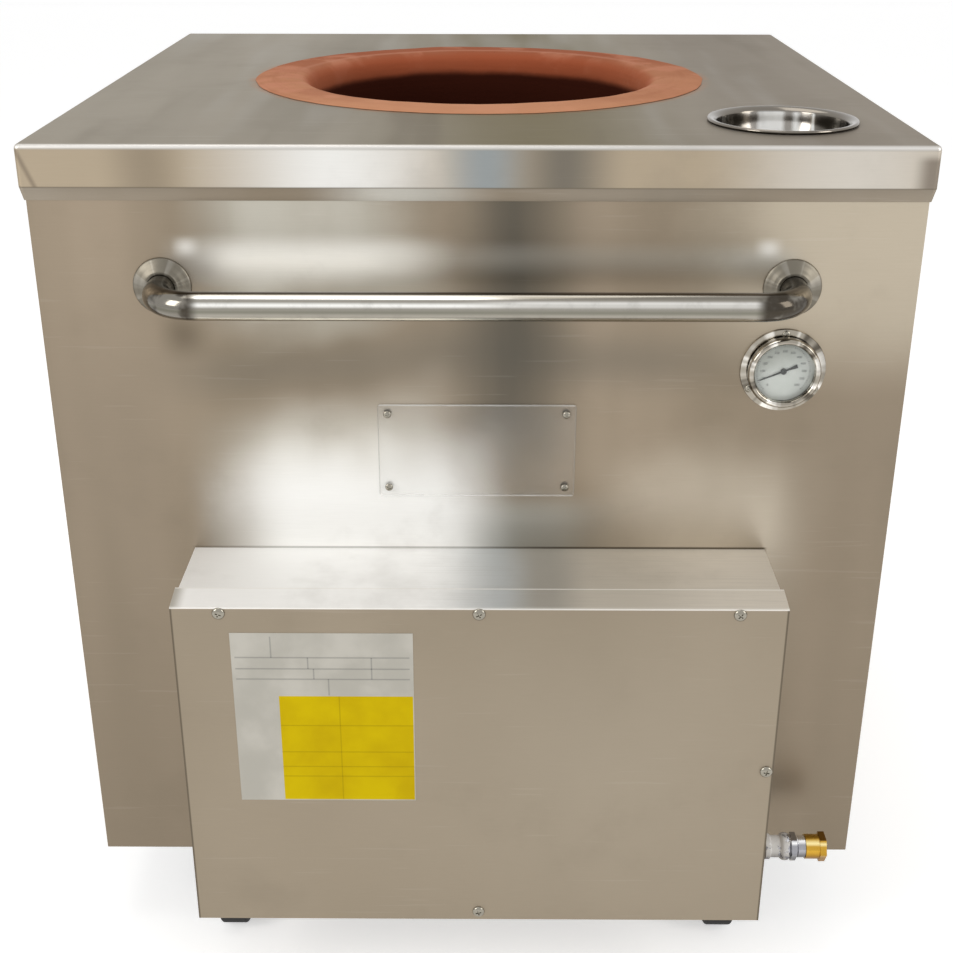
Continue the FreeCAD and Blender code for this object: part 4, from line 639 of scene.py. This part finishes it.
AXES = {"X": Vector((1, 0, 0)), "Y": Vector((0, 1, 0)), "Z": Vector((0, 0, 1))}
FACING = {"X": (0, math.radians(90), 0), "Y": (math.radians(90), 0, 0), "Z": (0, 0, 0)}


def turned(axis, centre, line, sides=64, fill="NGON"):
    """Drawn out ring by ring along an axis from a circle. The line's points are (radius, along)."""
    way, centre = AXES[axis], Vector(centre)
    bpy.ops.mesh.primitive_circle_add(vertices=sides, radius=line[0][0], fill_type=fill,
                                      location=centre + way * line[0][1], rotation=FACING[axis])
    edit()
    for (radius, along), (wider, further) in zip(line, line[1:]):
        bpy.ops.mesh.extrude_region_move(TRANSFORM_OT_translate={"value": way * (further - along)})
        bpy.ops.transform.resize(value=[1 if part else wider / radius for part in way],
                                 center_override=centre + way * further)
    tidy_faces()


def tidy_faces():
    """Merge what touches, turn the faces outwards and leave edit mode."""
    bpy.ops.mesh.select_all(action="SELECT")
    bpy.ops.mesh.remove_doubles(threshold=0.00001)
    bpy.ops.mesh.normals_make_consistent(inside=False)
    leave()


def arc(first, last, bulge, steps):
    """Points from first to last on an arc that stands out to the left of the way by bulge."""
    (x, y), (across, along) = first, (last[0] - first[0], last[1] - first[1])
    points = []
    for step in range(steps + 1):
        part = step / steps
        lift = 4 * bulge * part * (1 - part) / math.hypot(across, along)
        points.append((x + across * part - along * lift, y + along * part + across * lift))
    return points


def copied(model, places):
    """Copies of a piece, each with its own mesh moved to its place, joined into one piece."""
    bpy.ops.object.transform_apply(location=True, rotation=True, scale=True)
    copies = []
    for place in places:
        copy = model.copy()
        copy.data = model.data.copy()
        copy.data.transform(place)
        bpy.context.collection.objects.link(copy)
        copies.append(copy)
    join(copies)
    bpy.data.objects.remove(model)


def join(pieces):
    bpy.ops.object.select_all(action="DESELECT")
    for piece in pieces:
        piece.select_set(True)
    bpy.context.view_layer.objects.active = pieces[0]
    bpy.ops.object.join()


def carve(cutter_size, place, turn=0):
    """Cut a block out of the active piece."""
    piece = active()
    bpy.ops.mesh.primitive_cube_add(size=1, location=place, rotation=(0, turn, 0), scale=cutter_size)
    cutter = active()
    piece.select_set(True)
    cutter.select_set(False)
    bpy.context.view_layer.objects.active = piece
    modify("BOOLEAN", object=cutter, operation="DIFFERENCE", solver="EXACT")
    bpy.data.objects.remove(cutter)


def dress(node, name, body, material, radius=0.0004, segments=2, angle=30):
    """A copy of a CAD node with merged faces and softened edges takes its place."""
    piece = NODES[node].copy()
    piece.data = piece.data.copy()
    for key in list(piece.keys()):
        if key.startswith("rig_"):
            del piece[key]
    piece.parent = None
    bpy.context.collection.objects.link(piece)
    bpy.context.view_layer.objects.active = piece
    piece.select_set(True)
    edit()
    bpy.ops.mesh.select_all(action="SELECT")
    bpy.ops.mesh.remove_doubles(threshold=0.00001)
    bpy.ops.mesh.dissolve_limited(angle_limit=math.radians(0.5))
    leave()
    modify("BEVEL", width=radius, segments=segments, limit_method="ANGLE",
           angle_limit=math.radians(angle), harden_normals=False)
    keep_as(name, body, material, [node])


def build_sheets():
    """The sheet metal, with the soft folds that a brake leaves."""
    dress("top_cover", "folded_lid", "cabinet",
          satin("lid_steel", GREY, DULL, paint=lid_paint, streaks=(7, 0.8, 0.8), roughness=0.26,
                Specular_IOR_Level=0.0, Specular_Tint=(0.9, 0.85, 0.78, 1)), 0.0006, 3)
    dress("front_panel", "front_sheet", "cabinet",
          satin("front_steel", BEIGE, OLIVE, paint=front_paint))
    dress("gas_box_hood", "hood_sheet", "cabinet",
          satin("hood_steel", BEIGE, OLIVE, paint=hood_paint))
    dress("gas_box_cover", "cover_sheet", "cabinet",
          satin("cover_steel", (0.315, 0.265, 0.200), (0.275, 0.230, 0.170), streaks=(2.5, 2.5, 1.2),
                paint=cover_paint, roughness=0.38))


def pot_radius(z):
    """The pot's inner radius at a height, as its two big arcs give it."""
    if z > BELLY[1]:
        return BELLY[0] - SHOULDER_ARC + math.sqrt(SHOULDER_ARC ** 2 - (z - BELLY[1]) ** 2)
    return BELLY[0] - FOOT_ARC + math.sqrt(FOOT_ARC ** 2 - (z - BELLY[1]) ** 2)


def build_clay_pot():
    """The pot and the clay smeared round its mouth, as one hand-made body."""
    heights = [POT_FLOOR + (THROAT - POT_FLOOR) * step / 18 for step in range(19)]
    outside = [(pot_radius(z) + POT_WALL, z) for z in heights]
    inside = [(pot_radius(z), z) for z in reversed(heights)]
    rim = [(0.2515, 0.8882), (0.2515, 0.9130), (0.2635, 0.9141), (0.2652, 0.9142), (0.2657, 0.9146),
           (0.2648, 0.9152), (0.2620, 0.9159), (0.2580, 0.9165), (0.2530, 0.9170), (0.2470, 0.9173),
           (0.2400, 0.9175), (0.2330, 0.9177), (0.2270, 0.9176), (0.2220, 0.9173), (0.2175, 0.9168),
           (0.2130, 0.9159), (0.2090, 0.9144), (0.2055, 0.9121), (0.2025, 0.9088), (0.2003, 0.9046),
           (0.1990, 0.8990), (0.1984, 0.8930)]
    foot = [(0.110, POT_FLOOR), (0.110, POT_FOOT), (0.170, POT_FOOT), (outside[0][0], POT_FOOT), outside[0]]
    turned("Z", MOUTH, outside + rim + inside + foot, 144, "NOTHING")
    pot = active()
    smeared, outer_edge = (pot.vertex_groups.new(name=name) for name in ("smeared", "outer_edge"))
    smeared_above, edge_beyond = 0.8915, 0.2605
    for vertex in pot.data.vertices:
        place = vertex.co + pot.location
        if place.z > smeared_above:
            group = outer_edge if (place - MOUTH).xy.length > edge_beyond else smeared
            group.add([vertex.index], 1.0, "REPLACE")
    finger_marks = (("smeared", "RGB_TO_XYZ", 0.09, 0.0018), ("smeared", "RGB_TO_XYZ", 0.02, 0.0006),
                    ("outer_edge", "X", 0.07, 0.008), ("outer_edge", "Y", 0.06, 0.008),
                    ("outer_edge", "X", 0.018, 0.0034), ("outer_edge", "Y", 0.016, 0.0034))
    for group, way, size, reach in finger_marks:
        marks = bpy.data.textures.new(f"{group}_{way}", "CLOUDS")
        marks.noise_scale = size
        marks.cloud_type = "COLOR"
        modify("DISPLACE", texture=marks, texture_coords="LOCAL", direction=way, mid_level=0.5,
               strength=reach, vertex_group=group)
    keep_as("clay_oven", "cabinet", fired_clay(), ["clay_pot", "rim_collar"], 50)


def screw_model(radius, height, shank, length):
    """A domed screw with a cross recess whose head bears on y = 0."""
    turned("Y", (0, 0, 0), [(shank * 0.6, length), (shank, length - 0.001), (shank, 0), (radius * 0.97, 0),
                            (radius, -height * 0.12), (radius * 0.97, -height * 0.35),
                            (radius * 0.86, -height * 0.62), (radius * 0.68, -height * 0.83),
                            (radius * 0.42, -height * 0.96), (radius * 0.16, -height)], 32)
    for turn in (0, math.radians(90)):
        carve((radius * 0.95, height, radius * 0.2), (0, -height * 0.95, 0), turn)
    return active()


def build_screws():
    """Screws that hold the cover, the plate and the thermometer, each left at its own angle."""
    low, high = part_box("gas_box_cover")
    middle, front, pitch = (low.x + high.x) / 2, low.y, 0.254
    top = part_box("cover_screws")[1].z - BIG_SCREW
    cover = [(middle - pitch, front, top, 20), (middle, front, top, 65), (middle + pitch, front, top, 40),
             (high.x - 0.0075, front, 0.3015, 10), (middle, front, 0.1195, 75)]
    low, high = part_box("nameplate")
    inset = 0.01
    plate = [(x, low.y, z, turn) for x, z, turn in (
        (low.x + inset, low.z + inset, 15), (high.x - inset, low.z + inset, 50),
        (low.x + inset, high.z - inset, 80), (high.x - inset, high.z - inset, 30))]
    ring = 0.0375
    gauge = [(GAUGE.x + ring * math.cos(math.radians(spot)), PANEL_FRONT - 0.0025,
              GAUGE.z + ring * math.sin(math.radians(spot)), spot * 0.7) for spot in (90, 210, 330)]
    steel = polished("screw_steel", (0.30, 0.28, 0.235), 0.14)
    for name, replaced, spots, size in (
            ("cover_screw_set", "cover_screws", cover, (BIG_SCREW, 0.003, 0.0024, 0.012)),
            ("plate_screw_set", "nameplate_screws", plate, (0.004, 0.002, 0.0016, 0.008)),
            ("gauge_screw_set", "gauge_screws", gauge, (0.004, 0.002, 0.0016, 0.008))):
        places = [Matrix.Translation((x, y, z)) @ Matrix.Rotation(math.radians(turn), 4, "Y")
                  for x, y, z, turn in spots]
        copied(screw_model(*size), places)
        keep_as(name, "cabinet", steel, [replaced], 40)


def build_name_plate():
    """Clear acrylic with rounded corners and polished edges, a hair in front of the panel."""
    low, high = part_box("nameplate")
    gap = 0.0003
    bpy.ops.mesh.primitive_cube_add(size=1, location=((low.x + high.x) / 2, (low.y + high.y - gap) / 2,
                                                      (low.z + high.z) / 2),
                                    scale=(high.x - low.x, high.y - low.y - gap, high.z - low.z))
    bpy.ops.object.transform_apply(location=False, rotation=False, scale=True)
    edit()
    bpy.ops.mesh.select_all(action="DESELECT")
    shape = bmesh.from_edit_mesh(active().data)
    for edge in shape.edges:
        edge.select_set(abs((edge.verts[0].co - edge.verts[1].co).y) > gap)
    bmesh.update_edit_mesh(active().data)
    bpy.ops.mesh.bevel(offset=0.003, segments=5)
    leave()
    modify("BEVEL", width=0.0005, segments=2, limit_method="ANGLE", angle_limit=math.radians(50))
    keep_as("clear_plate", "cabinet", clear_plate(), ["nameplate"])


def build_gauge():
    """Pressed case, rolled bezel, and a dial with plain numbers from 0 to 600."""
    chrome = polished("gauge_chrome", (0.34, 0.31, 0.26), 0.06, round_chrome(GAUGE.x, GAUGE.z, 0.85))
    stem, face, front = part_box("gauge_case")[1].y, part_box("gauge_dial")[0].y, PANEL_FRONT
    turned("Y", (GAUGE.x, 0, GAUGE.z),
           [(0.0015, stem), (0.0036, stem - 0.0008), (0.004, stem - 0.003), (0.004, front + 0.0175),
            (0.006, front + 0.016), (0.0310, front + 0.016), (0.0323, front + 0.0145), (0.0325, front),
            (0.0410, front), (0.0422, front - 0.0004), (0.0425, front - 0.0012), (0.0421, front - 0.0021),
            (0.0410, front - 0.0025), (0.0345, front - 0.0025), (0.0332, front - 0.0029),
            (0.0325, front - 0.0040), (0.0325, front - 0.0088), (0.0323, front - 0.0090),
            (0.0312, front - 0.0090), (0.0310, front - 0.0088), (0.0310, face + 0.0010),
            (0.0308, face + 0.0008), (0.0020, face + 0.0008)], 96)
    keep_as("gauge_shell", "cabinet", chrome, ["gauge_case"], 40)
    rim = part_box("gauge_bezel")[0].y + 0.005
    turned("Y", (GAUGE.x, rim, GAUGE.z),
           [(0.0328, 0.0), (0.0328, 0.0027), (0.0332, 0.003), (0.0356, 0.003), (0.0360, 0.0026),
            (0.0360, -0.0012), (0.0358, -0.0024), (0.0352, -0.0036), (0.0343, -0.0045), (0.0332, -0.0050),
            (0.0322, -0.0050), (0.0312, -0.0046), (0.0304, -0.0038), (0.0298, -0.0028), (0.0294, -0.0019),
            (0.0293, -0.0015), (0.0320, -0.0015), (0.0320, 0.0), (0.0328, 0.0)], 96, "NOTHING")
    keep_as("gauge_ring", "cabinet", chrome, ["gauge_bezel"], 40)
    mark_ring, number_ring = 0.0262, 0.0205
    bpy.ops.mesh.primitive_cube_add(size=1, location=(0, 0, mark_ring), scale=(0.00028, 0.0001, 0.0018))
    edit()
    bpy.ops.mesh.bevel(offset=0.00003, segments=1)
    leave()
    mark = active()
    low_end, step = math.radians(-134.6), math.radians(269 / 60)
    at_dial = Matrix.Translation((GAUGE.x, face - 0.0001, GAUGE.z))
    long_mark = Matrix.Diagonal((1.9, 1, 1.0, 1))
    copied(mark, [at_dial @ Matrix.Rotation(low_end + step * tick, 4, "Y")
                  @ (long_mark if tick % 5 == 0 else Matrix()) for tick in range(61)])
    scale_parts = [active()]
    for number in range(13):
        around = low_end + step * 5 * number
        bpy.ops.object.text_add(radius=0.0034, rotation=FACING["Y"], location=(
            GAUGE.x + number_ring * math.sin(around), face - 0.0001,
            GAUGE.z + number_ring * math.cos(around)))
        active().data.body = str(50 * number)
        active().data.align_x = active().data.align_y = "CENTER"
        active().data.extrude = 0.00005
        active().data.resolution_u = 3
        bpy.ops.object.convert(target="MESH")
        scale_parts.append(active())
    join(scale_parts)
    keep_as("dial_scale", "cabinet", moulded("scale_print", (0.11, 0.115, 0.11),
                                                         (0.06, 0.065, 0.06), 0.5), smooth=0)


def build_towel_bar():
    """A bent tube, and the domed covers that hide its ends."""
    front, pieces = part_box("handle_bar")[0].y + BAR_TUBE, 12
    step = 2 * (BAR_END - BAR_BEND) / pieces
    quarter = {"steps": 16, "angle": math.radians(-90), "axis": (0, 0, 1)}
    bpy.ops.mesh.primitive_circle_add(vertices=48, radius=BAR_TUBE, rotation=FACING["Y"],
                                      location=(-BAR_END, PANEL_FRONT - 0.0002, BAR_HEIGHT))
    edit()
    bpy.ops.mesh.extrude_region_move(TRANSFORM_OT_translate={"value": (0, front + BAR_BEND - PANEL_FRONT, 0)})
    bpy.ops.mesh.spin(center=(BAR_BEND - BAR_END, front + BAR_BEND, BAR_HEIGHT), **quarter)
    for _ in range(pieces):
        bpy.ops.mesh.extrude_region_move(TRANSFORM_OT_translate={"value": (step, 0, 0)})
    bpy.ops.mesh.spin(center=(BAR_END - BAR_BEND, front + BAR_BEND, BAR_HEIGHT), **quarter)
    bpy.ops.mesh.extrude_region_move(TRANSFORM_OT_translate={"value": (0, PANEL_FRONT - front - BAR_BEND, 0)})
    bpy.ops.mesh.select_all(action="SELECT")
    bpy.ops.mesh.fill_holes(sides=0)
    tidy_faces()
    keep_as("towel_bar", "cabinet",
            polished("bar_steel", (0.33, 0.31, 0.27), 0.09, bar_paint), ["handle_bar"])
    turned("Y", (0, PANEL_FRONT, BAR_HEIGHT),
           [(0.0138, -0.0002), (0.0138, -0.0088), (0.0142, -0.0090), (0.0162, -0.0090), (0.0168, -0.0087),
            (0.0178, -0.0078), (0.0198, -0.0070), (0.0215, -0.0060), (0.0233, -0.0047), (0.0253, -0.0036),
            (0.0272, -0.0027), (0.0282, -0.0018), (0.0285, -0.0010), (0.0284, -0.0002), (0.0138, -0.0002)],
           72, "NOTHING")
    copied(active(), [Matrix.Translation((side * BAR_END, 0, 0)) for side in (-1, 1)])
    chrome = polished("cover_chrome", (0.170, 0.154, 0.124), 0.34,
                      round_chrome(BAR_END, BAR_HEIGHT, 0.10, True))
    keep_as("bar_covers", "cabinet", chrome, ["handle_flanges"])


def build_dip_bowl():
    """Spun bowl that hangs in the lid by its rolled rim."""
    wall = 0.0008
    outside = arc((0.034, -0.060), (0.066, -0.008), -0.0064, 10)
    inside = arc((0.0652, -0.008), (0.0335, -0.0592), 0.0064, 10)
    rim = [(0.066, 0.0003), (0.0675, 0.0006), (0.0735, 0.0005), (0.0748, 0.0010), (0.0755, 0.0022),
           (0.0752, 0.0032), (0.0744, 0.0039), (0.0732, 0.0040), (0.0716, 0.0037), (0.0700, 0.0033),
           (0.0680, 0.0022), (0.0664, 0.0008), (0.0652, -wall)]
    underside, bottom = [(0.001, -0.060), (0.020, -0.060)], [(0.020, -0.0592), (0.001, -0.0592)]
    low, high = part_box("dip_bowl")
    turned("Z", ((low.x + high.x) / 2, (low.y + high.y) / 2, LID_TOP),
           underside + outside + rim + inside + bottom, 96)
    keep_as("dip_dish", "bowl",
            polished("spun_steel", (0.30, 0.28, 0.255), 0.09, bowl_paint), ["dip_bowl"], 40)


def build_small_parts():
    """Fittings, casters and the casters' top plates with their edges broken."""
    zinc = plain_metal("bright_zinc", (0.45, 0.45, 0.44), (0.30, 0.30, 0.30), 50, 0.35, 0.0004)
    rubber = moulded("tread_rubber", (0.022, 0.022, 0.022), (0.006, 0.006, 0.0065), 0.7)
    dress("brass_adapter", "hose_adapter", "cabinet", lacquered_brass(), 0.0008, 3)
    dress("inlet_union", "pipe_union", "cabinet", sealed_fitting(), 0.0005, 2)
    dress("caster_plates", "top_plates", "cabinet", zinc, 0.0006, 2)
    for corner in ("front_left", "front_right", "back_left", "back_right"):
        dress(f"caster_fork_{corner}", f"fork_{corner}", f"caster_{corner}", zinc, 0.0008, 2)
        dress(f"caster_wheel_{corner}", f"wheel_{corner}_tread", f"wheel_{corner}", rubber,
              0.0008, 2)


# Studio ----------------------------------------------------------------------------------


def set_the_floor():
    """A pale floor that takes shadows, and glows to the camera, in steel and through glass."""
    bpy.ops.mesh.primitive_plane_add(size=60, location=(0, 0, 0))
    floor = active()
    floor.name = "floor"
    pale = Finish("pale_floor", Roughness=0.8)
    seen = pale.node("LightPath", out="Is Camera Ray")
    shine = Value(pale, seen.socket.node.outputs["Is Glossy Ray"])
    through = Value(pale, seen.socket.node.outputs["Is Transmission Ray"])
    grain = pale.noise(3, detail=4)
    colour = pale.mix(grain, (0.80, 0.80, 0.80), (0.82, 0.82, 0.815))
    glow = pale.node("Emission", inputs={"Color": (1, 1, 1), "Strength": 0.5})
    both = pale.node("AddShader", inputs={0: Value(pale, pale.shader.outputs[0]), 1: glow})
    shown = (seen + shine + through).calc("MINIMUM", 1.0)
    floor.data.materials.append(pale.done(colour))
    pick = pale.node("MixShader", inputs={0: shown, 1: Value(pale, pale.shader.outputs[0]), 2: both})
    pale.plug(pale.tree.nodes["Material Output"].inputs["Surface"], pick)
    bpy.ops.object.select_all(action="DESELECT")


def set_the_world():
    """White light from all round, brighter to the camera, in steel and through glass."""
    world = bpy.data.worlds.new("studio")
    bpy.context.scene.world = world
    world.use_nodes = True
    nodes, links = world.node_tree.nodes, world.node_tree.links
    sky = nodes["Background"]
    sky.inputs["Color"].default_value = (1, 1, 1, 1)
    path = nodes.new("ShaderNodeLightPath")
    total = path.outputs["Is Camera Ray"]
    for name in ("Is Glossy Ray", "Is Transmission Ray"):
        add = nodes.new("ShaderNodeMath")
        add.operation = "ADD"
        links.new(total, add.inputs[0])
        links.new(path.outputs[name], add.inputs[1])
        total = add.outputs[0]
    spread = nodes.new("ShaderNodeMapRange")
    spread.inputs["To Min"].default_value = 0.55
    spread.inputs["To Max"].default_value = 1.0
    links.new(total, spread.inputs["Value"])
    links.new(spread.outputs[0], sky.inputs["Strength"])


def lamp(name, place, aim, width, depth, power):
    """A soft warm lamp that points at a place."""
    bpy.ops.object.light_add(type="AREA", location=place)
    light = active()
    light.name = name
    light.rotation_euler = (Vector(aim) - Vector(place)).to_track_quat("-Z", "Y").to_euler()
    light.data.shape = "RECTANGLE"
    light.data.size = width
    light.data.size_y = depth
    light.data.energy = power
    light.data.color = (1.0, 0.985, 0.96)


def set_the_camera():
    """Where the photograph was taken from."""
    pan, tilt, roll = (Matrix.Rotation(math.radians(angle), 4, axis)
                       for angle, axis in ((0.27, "Z"), (66.2, "X"), (0.07, "Z")))
    bpy.ops.object.camera_add(location=(0.0060, -1.7054, 1.1669), rotation=(pan @ tilt @ roll).to_euler())
    camera = active()
    film, focal_pixels, photo_side = 36, 1427.4, 953
    camera.data.sensor_width = film
    camera.data.lens = film * focal_pixels / photo_side
    camera.data.clip_end = 200
    bpy.context.scene.camera = camera


set_the_camera()
set_the_floor()
set_the_world()
lamp("overhead", (-0.3, 0.1, 3.2), (0, 0, 0.9), 2.2, 1.4, 18)
lamp("left_front", (-2.6, -2.2, 2.2), (0, 0, 0.5), 1.2, 2.0, 45)
lamp("right_front", (2.6, -1.6, 1.8), (0, 0, 0.5), 0.9, 1.8, 25)
bpy.ops.object.select_all(action="DESELECT")
coat_the_nodes()
build_sheets()
build_clay_pot()
build_screws()
build_name_plate()
build_gauge()
build_towel_bar()
build_dip_bowl()
build_small_parts()

bpy.context.scene.view_settings.view_transform = "Standard"
